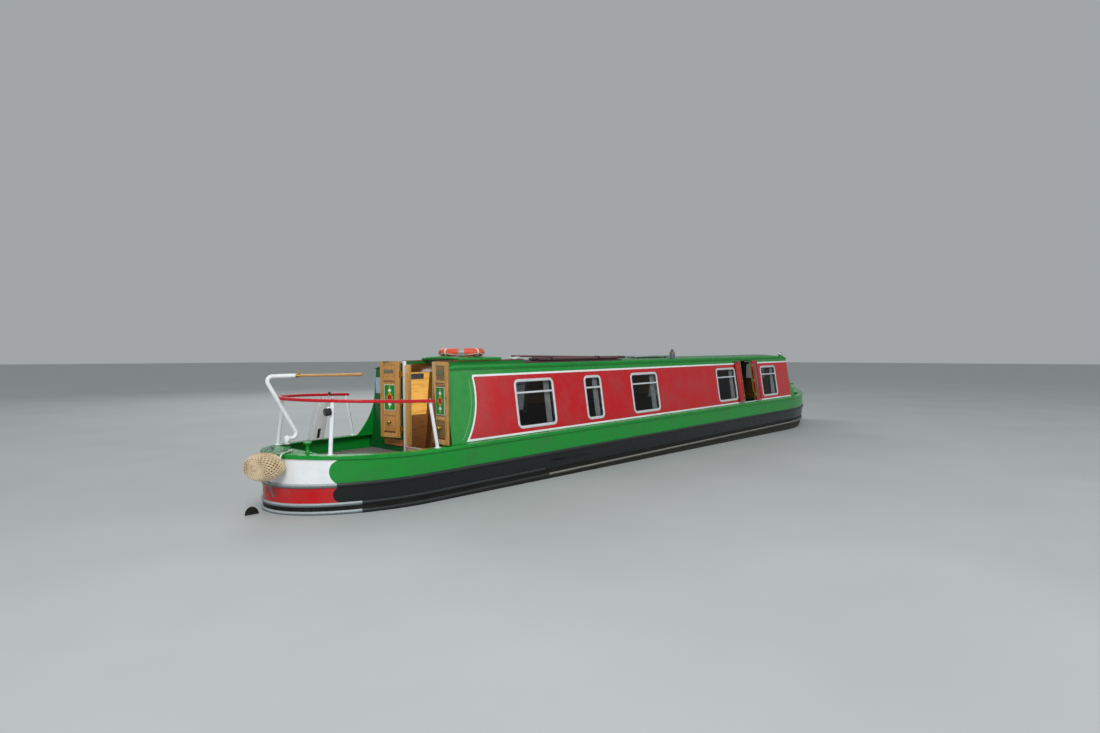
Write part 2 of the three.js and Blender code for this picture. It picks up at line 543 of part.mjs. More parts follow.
  // sliding hatch lid: a slightly domed slab on its two runners, with a lifebuoy on it
  const y0 = DOOR.stbd - 64, y1 = DOOR.port + 64, z = 2350 + GAP;
  const grid = (lift) => [0, 0.17, 0.33, 0.5, 0.67, 0.83, 1].map((t) =>
    [356, 1140].map((s) => V(at(s), lerp(y0, y1, t), z + lift + 64 * t * (1 - t))));
  add("slide_hatch", wall(grid(30), grid(0)), GREEN, 0.4);
  const ring = new THREE.TorusGeometry(265, 62, 8, 28);
  ring.translate(at(750), (y0 + y1) / 2, z + 30 + 16 + 62 + GAP);
  add("lifebuoy", solid(ring), 0xe8593a, 0.6);
  const edge = planLine(640, CABIN_AFT + 21, CABIN_FRONT - 21, [2, 2, 12]).map((p) => inset(p, 5))
    .map((p) => [at(Math.max(CABIN_AFT + 21, Math.min(p.s, CABIN_FRONT - 21))), p.y]);
  add("cabin_floor", clearOfHull(plate(halves(edge), 640, 670)), WOOD, 0.7);
}
// Rear doors: two wooden leaves swung back to the bulkhead, each shown 168 to 174 degrees open
function leaf() {
  // hinge line on the Z axis, the leaf along +Y, its panelled face towards -X
  return cut(box(-4 - LEAF_T, -4, 4, LEAF_W, LEAF_Z0, LEAF_Z1),
    box(-40, -26, 60, LEAF_W - 56, 2090, 2300), box(-40, -26, 60, LEAF_W - 56, 1640, 2040),
    box(-40, -26, 60, LEAF_W - 56, 1340, 1590));
}
add("rear_door_port", leaf().rotate([0, 0, 180 - DOOR_OPEN.port])
  .translate([at(HINGE_S), DOOR_HINGE.port, 0]), WOOD, 0.4);
add("rear_door_starboard", leaf().mirror([0, 1, 0]).rotate([0, 0, DOOR_OPEN.starboard - 180])
  .translate([at(HINGE_S), DOOR_HINGE.starboard, 0]), WOOD, 0.4);
for (const [name, side] of SIDES) {
  const x = at(CABIN_FRONT) - 12;
  const y = [side * 6, side * 313].sort((a, b) => a - b);
  const knob = rod(V(x + 8, side * 40, 1620), V(x + 34, side * 40, 1620), 14, 12);
  add("front_door_" + name, join(box(x - 14, x + 10, y[0], y[1], 1186, 2124), knob), WOOD, 0.4);
}
for (const [name, side] of SIDES) {
  // side hatch leaves folded back flat outside the cabin side
  const width = (HATCH[1] - HATCH[0]) / 2 - 13;
  for (const [end, hinge, dir] of [["aft", HATCH[0], -1], ["fore", HATCH[1], 1]]) {
    const g = (w) => [HATCH_Z[0] + 14, HATCH_Z[1] - 18].map((z) =>
      [hinge + dir * 6, hinge + dir * (6 + width)].map((s) => V(at(s), side * (sideY(z) + w), z)));
    add("hatch_leaf_" + name + "_" + end, wall(g(LEAF_OUT + 22), g(LEAF_OUT + 4)),
      end === "aft" ? RED : WOOD, 0.4);
  }
}
// Stern gear
{
  const x = at(STOCK);
  const blade = longPlate([[x + 215, 90], [x + 215, 480], [x - 295, 480], [x - 335, 560],
    [x - 345, 640], [x - 390, 700], [x - 440, 718], [x - 490, 690], [x - 512, 620], [x - 512, 90]],
  -6, 6);
  const stock = rod(V(x, 0, 30.4), V(x, 0, 1440), STOCK_R, 12);
  add("rudder", join(blade, stock), BLACK, 0.7, 0.3);
  const hub = rod(V(x, 0, 1440 - 52), V(x, 0, 1478), 32, 16);
  const arm = tube([V(x - 20, 0, 1450), V(x + 60, 0, 1450), V(x + 128, 0, 1468),
    V(x + 118, 0, 1540), V(x - 60, 0, 1836), V(x - 236, 0, 2128), V(x - 238, 0, 2182),
    V(x - 180, 0, 2196), V(x + 136, 0, 2198)], 24, 6, 40, 0.35);
  const socket = rod(V(x, 0, 1300), V(x, 0, 1440 + GAP), STOCK_R + 0.3, 12);
  add("tiller_arm", cut(join(hub, arm), socket), WHITE, 0.3);
  add("tiller_bar", join(rod(V(x + 136.8, 0, 2198), V(x + 1020, 0, 2180), 17, 12, 21),
    rod(V(x + 160, 0, 2190), V(x + 160, 0, 2275), 8, 10)), WOOD, 0.4);
}
{
  const x = at(SWIM_END) - 150;
  let body = join(rod(V(x - 45, 0, 300), V(x + 70, 0, 300), 42, 16, 46),
    rod(V(x, 0, 300), V(at(SWIM_END) + 340, 0, 300), SHAFT_R, 12));
  for (let i = 0; i < 3; i++) {
    const blade = new THREE.CylinderGeometry(78, 78, 12, 14);
    blade.scale(1.15, 1, 0.8);
    blade.rotateX(0.5).translate(100, 0, 0);
    blade.applyMatrix4(new THREE.Matrix4().makeBasis(V(0, 0, 1), V(1, 0, 0), V(0, 1, 0)));
    blade.rotateX((i * 2 * Math.PI) / 3).translate(x, 0, 300);
    body = join(body, solid(blade));
  }
  add("propeller", body, BRASS, 0.4, 0.8);
  add("engine_block", box(at(-720), at(40), -230, 230, 180, 780), 0x3a4a3c, 0.6, 0.3);
}
{
  // taffrail with its four posts, standing on the gunwale
  const [middle, reach, wide, end] = [-407, 1300, 1000, -280];
  const half = Array.from({ length: 13 }, (_, i) => {
    const a = (Math.PI / 2) * (i / 12);
    return [middle - reach * Math.cos(a), wide * Math.sin(a)];
  });
  half.push([end, wide]);
  const zAt = (s) => lerp(1927, 1860, (s - middle + reach) / (end - middle + reach));
  const centre = (s, y) => V(at(s), y, zAt(s));
  const path = [...half.slice().reverse().map(([s, y]) => centre(s, -y)),
    ...half.slice(1).map(([s, y]) => centre(s, y))];
  const frames = path.map((p, i) => {
    const a = path[Math.max(0, i - 1)], b = path[Math.min(path.length - 1, i + 1)];
    const d = b.clone().sub(a).setZ(0).normalize(), n = V(-d.y, d.x, 0);
    return [[-30, -19], [30, -19], [30, 19], [-30, 19]].map(([w, h]) =>
      p.clone().addScaledVector(n, w).add(V(0, 0, h)));
  });
  let rail = sweep(frames);
  const onDeck = box(at(-1800), at(200), -1100, 1100, 1000, GUNWALE_Z + GAP);
  for (const side of [1, -1]) {
    rail = join(rail,
      cut(rod(V(at(-255), side * 990, GUNWALE_Z - 30), V(at(-330), side * 990, 1850), 22, 12), onDeck),
      rod(V(at(-1500), side * 655, gunwaleZ(-1590) + GAP), V(at(-1437), side * 612, 1900), 24, 12));
  }
  add("taffrail_stern", between(rail, -2500, AFT_BREAK), RED, 0.35);
  add("taffrail_port", between(rail, AFT_BREAK, 100, 1), RED, 0.35);
  add("taffrail_starboard", between(rail, AFT_BREAK, 100, -1), RED, 0.35);
}
{
  // engine control column on the port side and its lever
  const g = (dx, dy, z) => [[dx - 90, dy - 60], [dx + 90, dy - 60], [dx + 90, dy + 60],
    [dx - 90, dy + 60]].map(([x, y]) => V(at(-860) + x, 900 + y, z));
  const body = sweep([g(0, 0, gunwaleZ(-1000) - 0.35), g(60, -14, 1600), g(130, -30, 1840)]);
  const lever = join(rod(V(at(-730), 800, 1780), V(at(-730), 860, 1780), 22, 12),
    rod(V(at(-730), 812, 1780), V(at(-690), 812, 1895), 8, 10),
    rod(V(at(-692), 812, 1885), V(at(-682), 812, 1925), 18, 12));
  add("control_column", join(body, lever), 0xd8dadc, 0.5);
}
{
  // rope fender hung from the stern a little to starboard, its flat back along the plate
  const profile = [[0, 0], [150, 4], [186, 60], [196, 140], [186, 220], [150, 276], [0, 280]];
  const button = turned(profile, 20).rotate([0, -90, 0]).scale([0.95, 1.28, 0.8])
    .rotate([0, 0, 14]).translate([at(-1935), -170, 1187]);
  const chain = (...points) => points.slice(1).map((p, i) => rod(points[i], p, 9, 8, 9));
  const rope = [
    ...chain(V(at(-2039), -124, 1318), V(at(-1968), -30, 1342), V(at(-1790), 190, 1342),
      V(at(-1775), 195, 1330)),
    ...chain(V(at(-2005), -260, 1318), V(at(-1940), -252, 1342), V(at(-1790), -190, 1342),
      V(at(-1775), -195, 1330)),
  ];
  const eye = [1, -1].map((side) => rod(V(at(-1775), side * 195, 1318),
    V(at(-1775), side * 195, 1352), 14, 10));
  add("stern_fender", join(button, ...rope, ...eye,
    ...chain(V(at(-2010), -170, 1060), V(at(-1945), -160, 830))), 0xd9c4a0, 0.9);
}
// Roof gear and bow gear
{
  const x = at(6000), y = -520;
  add("chimney", turned([[0, 0], [58, 0], [58, 128], [30, 136], [30, 180], [0, 180]], 18)
    .translate([x, y, roofZ(y + 58) + GAP]), 0x55616a, 0.5, 0.3);
  const s0 = 5080, s1 = 6300;
  add("solar_panel", box(at(s0), at(s1), -270, 270, 2315 + GAP, 2350), 0x2c3e52, 0.3, 0.2);
  const lie = (lift) => [-640, -390].map((yy) => [1150, 4150].map((s) =>
    V(at(s), yy, roofZ(yy) + lift)));
  add("roof_plank", wall(lie(37), lie(2.2)), 0x5a2a2a, 0.6);
  // three poles over the plank, bound by straps; the thin one is a mop lying on its own head
  const pole = (yy, a, b) => rod(V(at(a), yy, roofZ(yy) + 62.4), V(at(b), yy, roofZ(yy) + 62.4), 26, 10);
  const strap = (s) => box(at(s), at(s + 40), -605, -420, roofZ(-540) + 60, roofZ(-540) + 74);
  const mop = rod(V(at(1566), -455, 2350.4), V(at(1790), -455, 2352.2), 24, 12, 26);
  add("boat_poles", join(pole(-596, 2050, 4050), pole(-540, 1900, 4350), strap(2300), strap(3500),
    rod(V(at(1600), -455, 2392), V(at(3650), -485, 2352), 16, 10), mop), WOOD, 0.6);
  // the lamp stands near the roof's starboard edge
  const lampY = -715, lampZ = roofZ(lampY) + 70;
  const lamp = join(box(at(10680), at(10730), lampY - 30, lampY + 30, roofZ(lampY + 30) + GAP, lampZ - 30),
    rod(V(at(10660), lampY, lampZ), V(at(10750), lampY, lampZ), 42, 16, 54));
  add("headlamp", lamp, 0xb8bcc0, 0.3, 0.6);
}
{
  const lid = (lift) => [-230, 230].map((y) => [12420, 12880].map((s) =>
    V(at(s), y, gunwaleZ(s) + lift)));
  add("locker_lid", wall(lid(12), lid(0.2)), GREEN, 0.4);
}

const group = new THREE.Group();
for (const { name, body, colour, roughness, metalness } of nodes) {
  const mesh = new THREE.Mesh(geometryOf(body),
    new THREE.MeshStandardMaterial({ color: colour, roughness, metalness }));
  mesh.name = name;
  group.add(mesh);
}
export default group;
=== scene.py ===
"""A steel canal narrowboat with an open stern cockpit, dressed round its CAD frame."""

from math import cos, hypot, pi, radians, sin, sqrt

import bmesh
import bpy
from mathutils import Matrix, Vector


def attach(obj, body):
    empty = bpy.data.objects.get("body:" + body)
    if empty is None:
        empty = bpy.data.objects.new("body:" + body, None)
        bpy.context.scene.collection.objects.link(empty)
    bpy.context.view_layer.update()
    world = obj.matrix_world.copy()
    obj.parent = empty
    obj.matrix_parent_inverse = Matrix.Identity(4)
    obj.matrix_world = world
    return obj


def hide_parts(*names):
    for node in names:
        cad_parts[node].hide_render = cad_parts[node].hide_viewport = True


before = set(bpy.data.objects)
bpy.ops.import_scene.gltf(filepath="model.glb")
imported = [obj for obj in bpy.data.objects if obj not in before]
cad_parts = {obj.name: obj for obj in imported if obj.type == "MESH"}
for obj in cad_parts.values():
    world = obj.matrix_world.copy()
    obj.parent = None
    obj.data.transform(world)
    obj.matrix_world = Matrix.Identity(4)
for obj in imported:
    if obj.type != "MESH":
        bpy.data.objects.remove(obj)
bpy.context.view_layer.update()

# Sizes in metres. Stations run forward from the rear cabin bulkhead, and at() gives their X.
BULKHEAD_X = -5.8
STERN, STERN_RUN, BOW_START, STEM = -1.93, 1.6, 10.3, 13.4
HALF_BEAM, PLATE = 1.02, 0.01
STEM_PROFILE = [(0, 12.3), (0.15, 12.7), (0.35, 13.06), (0.6, 13.34), (0.95, STEM), (1.37, 13.32)]
SHEER_PLAN_Z = 1.18  # the hull's plan keeps its shape above this height
GUNWALE_Z, GUNWALE_W, GUNWALE_T, LIP_OUT, LIP_H = 1.265, 0.11, 0.012, 0.02, 0.048
STRAKE_Z, STERN_STRAKE_Z, LOW_STRAKE_Z = 0.952, 0.733, 0.64
COUNTER_Z, SWIM_START, BASE_T = 0.55, 1.9, 0.012
FLOOR_Z, AFT_DECK, WELL_FORE = 1.066, -1.56, 12.1
CABIN_AFT, CABIN_FRONT, CABIN_HALF, TUMBLE, SIDE_T = 0.05, 10.87, 0.935, 0.147, 0.012
ROOF_EDGE_Z, ROOF_RISE, ROOF_HALF, ROOF_T = 2.235, 0.08, 0.808, 0.012
WINDOWS = [(1.289, 2.098), (2.86, 3.278), (4.145, 4.96), (7.219, 8.04), (9.328, 10.123)]
WINDOW_Z = (1.367, 2.044)
HATCH, HATCH_Z = (8.33, 8.88), (1.288, 2.203)
STRAP_Z = (1.4, 1.72, 2.06)  # the side hatch straps' lower ends
DOORWAY = (-0.655, 0.045)  # the rear doorway's starboard and port sides
# each rear door's side, its hinge line's Y, and the degrees that it stands off the bulkhead
REAR_DOORS = (("port", 1, 0.065, 12), ("starboard", -1, -0.675, -6))
DOOR_HINGE_Z = (1.4, 1.78, 2.16)
WATERLINE_Z, TRIM = 0.6, 0.012  # the waterline's height at station 0, and its fall towards the bow
RUDDER_STOCK, TILLER_Z = -1.69, 2.198
COLUMN, HEADLAMP_Y = -0.86, -0.715
SIDES = (("port", 1), ("starboard", -1))
PAINT_REACH = 0.2  # a piece's paint value runs this far to either side of a painted edge
ACROSS = [k / 8 for k in range(-8, 9)]  # shares of a deck's half-breadth
TINY = 1e-6


def at(station):
    return BULKHEAD_X + station


def lerp(a, b, t):
    return a + (b - a) * t


def stand(name, data):
    """A new object at the origin."""
    made = bpy.data.objects.new(name, data)
    bpy.context.collection.objects.link(made)
    return made


# Camera and light


def make_camera():
    """The photo's view, from the starboard quarter at the height of the cabin roof."""
    right = Vector((0.67479, -0.73796, -0.0081))
    ahead = Vector((0.7376, 0.67474, -0.02588)).normalized()
    up = right.cross(ahead).normalized()
    lens = bpy.data.cameras.new("camera")
    lens.sensor_width, lens.lens = 36.0, 21.474
    lens.clip_start, lens.clip_end = 0.1, 900
    camera = stand("camera", lens)
    right = ahead.cross(up).normalized()
    turn = Matrix((right, up, -ahead)).transposed().to_4x4()
    camera.matrix_world = Matrix.Translation((-11.1151, -7.5624, 2.4856)) @ turn
    bpy.context.scene.camera = camera


def make_lights():
    """Soft daylight from high on the camera's side, with a pale room all round. A small narrow
    lamp inside the cabin stands for the sun that falls through the open hatch on the lining."""
    for name, place, aim, size, power, spread in (
        ("key", (-17, -14, 14), (-3, 0, 1), 9, 2600, pi),
        ("fill", (8, -22, 9), (2, 0, 1), 14, 700, pi),
        ("back", (4, 18, 14), (0, 0, 1), 12, 900, pi),
        ("hatchway", (-4.95, -0.45, 2.0), (-5.0, 0.85, 1.65), 0.25, 7, radians(100)),
    ):
        lamp = bpy.data.lights.new(name, "AREA")
        lamp.shape, lamp.size, lamp.energy, lamp.spread = "DISK", size, power, spread
        turn = (Vector(aim) - Vector(place)).to_track_quat("-Z", "Y").to_matrix().to_4x4()
        stand(name, lamp).matrix_world = Matrix.Translation(place) @ turn
    world = bpy.data.worlds.new("room")
    world.use_nodes = True
    world.node_tree.nodes["Background"].inputs["Color"].default_value = rgb("#DDE2E6")
    world.node_tree.nodes["Background"].inputs["Strength"].default_value = 0.5
    bpy.context.scene.world = world
    bpy.context.scene.view_settings.view_transform = "Standard"


# Materials


def rgb(code):
    """An sRGB hex colour as linear values."""
    parts = [int(code[i:i + 2], 16) / 255 for i in (1, 3, 5)]
    return [c / 12.92 if c <= 0.04045 else ((c + 0.055) / 1.055) ** 2.4 for c in parts] + [1.0]


def source(value):
    """A node's first output; anything else as it is."""
    return value.outputs[0] if isinstance(value, bpy.types.Node) else value


def add(tree, kind, inputs=(), **settings):
    """Adds a node: settings are its own properties, inputs its sockets' values, links or nodes."""
    made = tree.nodes.new(kind)
    for name, value in settings.items():
        setattr(made, name, value)
    for key, value in dict(inputs).items():
        value = source(value)
        if isinstance(value, bpy.types.NodeSocket):
            tree.links.new(value, made.inputs[key])
        else:
            made.inputs[key].default_value = value
    return made


def coating(name, colour, roughness, values=()):
    """A new material, its shader with plain values, its tree, and the socket of Object coordinates."""
    made = bpy.data.materials.new(name)
    made.use_nodes = True
    made.diffuse_color = rgb(colour)
    tree = made.node_tree
    shader = tree.nodes["Principled BSDF"]
    plain = {"Base Color": rgb(colour), "Roughness": roughness, **dict(values)}
    for key, value in plain.items():
        shader.inputs[key].default_value = value
    return made, tree, add(tree, "ShaderNodeTexCoord").outputs["Object"]


def feed(made, sockets, relief=None):
    """Links what a material works out to its shader. relief is (height, strength, depth)."""
    tree = made.node_tree
    if relief:
        height, strength, depth = relief
        bump = add(tree, "ShaderNodeBump", {"Height": height, "Strength": strength, "Distance": depth})
        sockets["Normal"] = bump
    for name, value in sockets.items():
        tree.links.new(source(value), tree.nodes["Principled BSDF"].inputs[name])
    return made


def ramp_stops(node, stops, mode="LINEAR"):
    """Gives a colour ramp its stops: (position, hex colour)."""
    ramp = node.color_ramp
    ramp.interpolation = mode
    while len(ramp.elements) < len(stops):
        ramp.elements.new(0.5)
    for element, (position, colour) in zip(ramp.elements, stops):
        element.position, element.color = position, rgb(colour)


def enamel(name, colour, shade_tone=None, gloss=0.2, coat=0.12, zones=None):
    """Gloss coach enamel brushed on steel plate: it mirrors softly, the plate's slow waves bend the
    reflections, and dust dulls it in clouds. Broad clouds of a darker tone of the paint are painted dappled
    shade. zones are (paint value, colour) steps on the piece."""
    made, tree, place = coating(name, colour, gloss, {"Coat Weight": coat, "Coat Roughness": 0.06,
                                                      "Specular IOR Level": 0.28})
    cloud = add(tree, "ShaderNodeTexNoise", {"Vector": place, "Scale": 2.4, "Detail": 5.0,
                                             "Roughness": 0.62})
    # broad clouds where a darker tone of the paint is mixed in as painted dappled shade
    share = add(tree, "ShaderNodeMapRange", {0: cloud, 1: 0.42, 2: 0.78, 3: 0.0, 4: 0.55})
    if zones:
        value = add(tree, "ShaderNodeAttribute", attribute_name="paint").outputs["Fac"]
        spot = add(tree, "ShaderNodeMapRange", {0: value, 1: -PAINT_REACH, 2: PAINT_REACH, 3: 0.0, 4: 1.0})
        base = add(tree, "ShaderNodeValToRGB", {0: spot})
        ramp_stops(base, [((v + PAINT_REACH) / (2 * PAINT_REACH), c) for v, c in zones], "CONSTANT")
        # a darker copy of the zones' colours, the painted dappled shade
        shade_clouds = add(tree, "ShaderNodeHueSaturation", {"Saturation": 0.8, "Value": 0.62, "Color": base})
    else:
        base, shade_clouds = rgb(colour), rgb(shade_tone)
    mixed = add(tree, "ShaderNodeMix", {0: share, 6: base, 7: shade_clouds}, data_type="RGBA").outputs[2]
    dust = add(tree, "ShaderNodeTexNoise", {"Vector": place, "Scale": 9.0, "Detail": 8.0})
    dull = add(tree, "ShaderNodeMapRange", {0: dust, 1: 0.35, 2: 0.75, 3: gloss * 0.8, 4: gloss + 0.2})
    # plate waves about 400 mm long; brush marks 6 mm apart, run fore and aft
    slow = add(tree, "ShaderNodeTexNoise", {"Vector": place, "Scale": 2.5, "Detail": 1.0})
    swell = add(tree, "ShaderNodeBump", {"Height": slow, "Strength": 0.5, "Distance": 0.004})
    lain = add(tree, "ShaderNodeMapping", {0: place, 3: (6, 160, 160)})
    marks = add(tree, "ShaderNodeTexNoise", {"Vector": lain, "Scale": 1.0, "Detail": 2.0})
    brush = add(tree, "ShaderNodeBump", {"Height": marks, "Strength": 0.12, "Distance": 0.0006,
                                         "Normal": swell})
    return feed(made, {"Base Color": mixed, "Roughness": dull, "Normal": brush, "Coat Normal": swell})


def bitumen():
    """Blacking on the hull: matt tar with brushed streaks, and dried mud towards the waterline."""
    made, tree, place = coating("bitumen", "#0B0D0F", 0.6, {"Specular IOR Level": 0.12})
    parts = add(tree, "ShaderNodeSeparateXYZ", {0: place})
    lain = add(tree, "ShaderNodeMapping", {0: place, 3: (1.2, 9, 9)})
    streak = add(tree, "ShaderNodeTexNoise", {"Vector": lain, "Scale": 2.2, "Detail": 7.0,
                                              "Roughness": 0.65})
    near = add(tree, "ShaderNodeMapRange", {0: parts.outputs[2], 1: 0.78, 2: 0.52, 3: 0.0, 4: 0.55})
    both = add(tree, "ShaderNodeMath", {0: streak, 1: near}, operation="MULTIPLY")
    ramp = add(tree, "ShaderNodeValToRGB", {0: streak})
    ramp_stops(ramp, [(0.35, "#080A0C"), (0.62, "#121618"), (0.8, "#1E2322")])
    mixed = add(tree, "ShaderNodeMix", {0: both, 6: ramp, 7: rgb("#5A5646")}, data_type="RGBA")
    dull = add(tree, "ShaderNodeMapRange", {0: streak, 1: 0.3, 2: 0.8, 3: 0.32, 4: 0.75})
    return feed(made, {"Base Color": mixed.outputs[2], "Roughness": dull}, (streak, 0.35, 0.003))


def worn_and_lit_steel(name, face, top, metallic=0.0, roughness=0.45):
    """Painted steel bar, paler on its upward faces: partly rubbed by locks and quays, partly a painted
    highlight where the sky lights its top.
    """
    made, tree, place = coating(name, face, roughness, {"Metallic": metallic})
    lain = add(tree, "ShaderNodeMapping", {0: place, 3: (3, 30, 30)})
    scuff = add(tree, "ShaderNodeTexNoise", {"Vector": lain, "Scale": 3.0, "Detail": 8.0,
                                             "Roughness": 0.7})
    # upward faces turn to the top colour: a painted highlight, with scuffs of real wear
    tilt = add(tree, "ShaderNodeNewGeometry").outputs["Normal"]
    up = add(tree, "ShaderNodeSeparateXYZ", {0: tilt}).outputs[2]
    lit_and_scuffed = add(tree, "ShaderNodeMath", {0: up, 1: scuff}, operation="ADD")
    ramp = add(tree, "ShaderNodeValToRGB", {0: lit_and_scuffed})
    ramp_stops(ramp, [(0.45, face), (0.75, top)])
    dull = add(tree, "ShaderNodeMapRange", {0: scuff, 1: 0.3, 2: 0.7, 3: roughness - 0.12,
                                            4: roughness + 0.2})
    return feed(made, {"Base Color": ramp, "Roughness": dull}, (scuff, 0.3, 0.0015))


def timber(name, light, dark, grain=(1, 16, 16), varnish=0.6, roughness=0.35, ring_mm=9):
    """Sawn wood, its grain stretched along one axis; varnish adds a clear coat over it."""
    made, tree, place = coating(name, light, roughness, {"Coat Weight": varnish, "Coat Roughness": 0.12})
    lain = add(tree, "ShaderNodeMapping", {0: place, 3: grain})
    rings = add(tree, "ShaderNodeTexNoise", {"Vector": lain, "Scale": 60 / ring_mm, "Detail": 6.0,
                                             "Roughness": 0.6, "Distortion": 0.7})
    ramp = add(tree, "ShaderNodeValToRGB", {0: rings})
    ramp_stops(ramp, [(0.32, dark), (0.5, light), (0.72, light)])
    pores = add(tree, "ShaderNodeTexNoise", {"Vector": lain, "Scale": 46.0, "Detail": 3.0})
    thin = add(tree, "ShaderNodeMapRange", {0: pores, 1: 0.52, 2: 0.75, 3: 0.0, 4: 0.5})
    mixed = add(tree, "ShaderNodeMix", {0: thin, 6: ramp, 7: rgb(dark)}, data_type="RGBA")
    dull = add(tree, "ShaderNodeMapRange", {0: rings, 1: 0.3, 2: 0.7, 3: roughness - 0.1,
                                            4: roughness + 0.12})
    return feed(made, {"Base Color": mixed.outputs[2], "Roughness": dull}, (pores, 0.18, 0.0008))


def metal(name, colour, roughness, tarnish):
    """Bare metal, finely scratched fore and aft, tarnished in spots."""
    made, tree, place = coating(name, colour, roughness, {"Metallic": 1.0})
    lain = add(tree, "ShaderNodeMapping", {0: place, 3: (4, 90, 90)})
    lines = add(tree, "ShaderNodeTexNoise", {"Vector": lain, "Scale": 5.0, "Detail": 4.0})
    spots = add(tree, "ShaderNodeTexNoise", {"Vector": place, "Scale": 14.0, "Detail": 6.0})
    share = add(tree, "ShaderNodeMapRange", {0: spots, 1: 0.52, 2: 0.78, 3: 0.0, 4: 0.6})
    mixed = add(tree, "ShaderNodeMix", {0: share, 6: rgb(colour), 7: rgb(tarnish)}, data_type="RGBA")
    dull = add(tree, "ShaderNodeMapRange", {0: spots, 1: 0.3, 2: 0.75, 3: roughness, 4: roughness + 0.25})
    return feed(made, {"Base Color": mixed.outputs[2], "Roughness": dull}, (lines, 0.1, 0.0004))


def fibre(name, colour, shade, scale):
    """Rope or cloth: matt fibres, grimy in patches, with painted shade in the hollows of their weave."""
    made, tree, place = coating(name, colour, 0.9, {"Sheen Weight": 0.3})
    thread = add(tree, "ShaderNodeTexNoise", {"Vector": place, "Scale": scale, "Detail": 3.0})
    grime = add(tree, "ShaderNodeTexNoise", {"Vector": place, "Scale": 7.0, "Detail": 5.0})
    both = add(tree, "ShaderNodeMath", {0: thread, 1: grime}, operation="MULTIPLY")
    # low spots of the weave's bump take the darker colour: painted shade, with grime in patches
    ramp = add(tree, "ShaderNodeValToRGB", {0: both})
    ramp_stops(ramp, [(0.12, shade), (0.3, colour)])
    return feed(made, {"Base Color": ramp}, (thread, 0.5, 0.0012))


def moulded(name, colour, shade, roughness=0.4, metallic=0.0, coat=0.0):
    """Moulded plastic, rubber or a painted casting: even colour, handled to a dull shine."""
    made, tree, place = coating(name, colour, roughness, {"Metallic": metallic, "Coat Weight": coat})
    cloud = add(tree, "ShaderNodeTexNoise", {"Vector": place, "Scale": 11.0, "Detail": 5.0})
    share = add(tree, "ShaderNodeMapRange", {0: cloud, 1: 0.4, 2: 0.8, 3: 0.0, 4: 0.7})
    mixed = add(tree, "ShaderNodeMix", {0: share, 6: rgb(colour), 7: rgb(shade)}, data_type="RGBA")
    dull = add(tree, "ShaderNodeMapRange", {0: cloud, 1: 0.3, 2: 0.7, 3: roughness - 0.06,
                                            4: roughness + 0.14})
    skin = add(tree, "ShaderNodeTexNoise", {"Vector": place, "Scale": 320.0, "Detail": 2.0})
    return feed(made, {"Base Color": mixed.outputs[2], "Roughness": dull}, (skin, 0.12, 0.0005))


def window_glass():
    """Float glass, faintly grey and dusty: it mirrors the sky and shows what hangs close behind."""
    made, tree, place = coating("window_glass", "#0C1013", 0.04,
                                {"IOR": 1.5, "Alpha": 0.34, "Specular IOR Level": 0.3})
    film = add(tree, "ShaderNodeTexNoise", {"Vector": place, "Scale": 6.0, "Detail": 6.0})
    dull = add(tree, "ShaderNodeMapRange", {0: film, 1: 0.4, 2: 0.8, 3: 0.02, 4: 0.16})
    waves = add(tree, "ShaderNodeTexNoise", {"Vector": place, "Scale": 3.0, "Detail": 0.0})
    return feed(made, {"Roughness": dull}, (waves, 0.2, 0.002))


def solar_glass():
    """Silicon cells under glass: dark blue squares 156 mm wide with thin silver lines."""
    made, tree, place = coating("solar_cells", "#1B2A40", 0.15, {"Coat Weight": 1.0})
    squares = add(tree, "ShaderNodeTexBrick", {
        "Vector": place, "Color1": rgb("#16233A"), "Color2": rgb("#1E2F4C"), "Mortar": rgb("#8E98A4"),
        "Scale": 1.0, "Mortar Size": 0.004, "Brick Width": 0.156, "Row Height": 0.156}, offset=0.0)
    film = add(tree, "ShaderNodeTexNoise", {"Vector": place, "Scale": 12.0, "Detail": 5.0})
    dull = add(tree, "ShaderNodeMapRange", {0: film, 1: 0.3, 2: 0.8, 3: 0.1, 4: 0.35})
    return feed(made, {"Base Color": squares, "Roughness": dull})


# Coach enamels, brushed on: deep colour with a soft mirror, each with a darker tone laid in broad clouds as
# painted dappled shade.
# The roof's has chalked in the sun, the bulkheads' darker green is painted shade, and the bulkheads' and the
# rail's are rubbed to a silk shine.
GREEN, DEEP_GREEN, RED, WHITE = "#0E9230", "#0A6C28", "#C60A14", "#F7FAFC"
BLACK, YELLOW, ORANGE = "#14181A", "#E8C22A", "#E08A1E"
green_enamel = enamel("green_enamel", GREEN, DEEP_GREEN)
roof_enamel = enamel("roof_enamel", "#187E30", "#2C7036", gloss=0.34, coat=0.1)
# the bulkheads' green is darker as painted shade on the end walls
shaded_bulkhead_enamel = enamel("shaded_bulkhead_enamel", "#12622C", "#0E5226", gloss=0.3)
red_enamel = enamel("red_enamel", RED, "#9E1117", gloss=0.22)
rail_enamel = enamel("rail_enamel", "#CE1622", "#A3252B", gloss=0.3)
white_enamel = enamel("white_enamel", WHITE, "#CFD6D8", gloss=0.25)
pale_green = enamel("pale_green_enamel", "#8CC79C", "#6FA87E")
yellow_enamel = enamel("yellow_enamel", YELLOW, "#C49A22")
orange_enamel = enamel("orange_enamel", ORANGE, "#B86C18")
# the side panels: green border, 27 mm white line, red field
panel_enamel = enamel("panel_enamel", RED, zones=[(-PAINT_REACH, GREEN), (0.0, WHITE), (0.027, RED)])
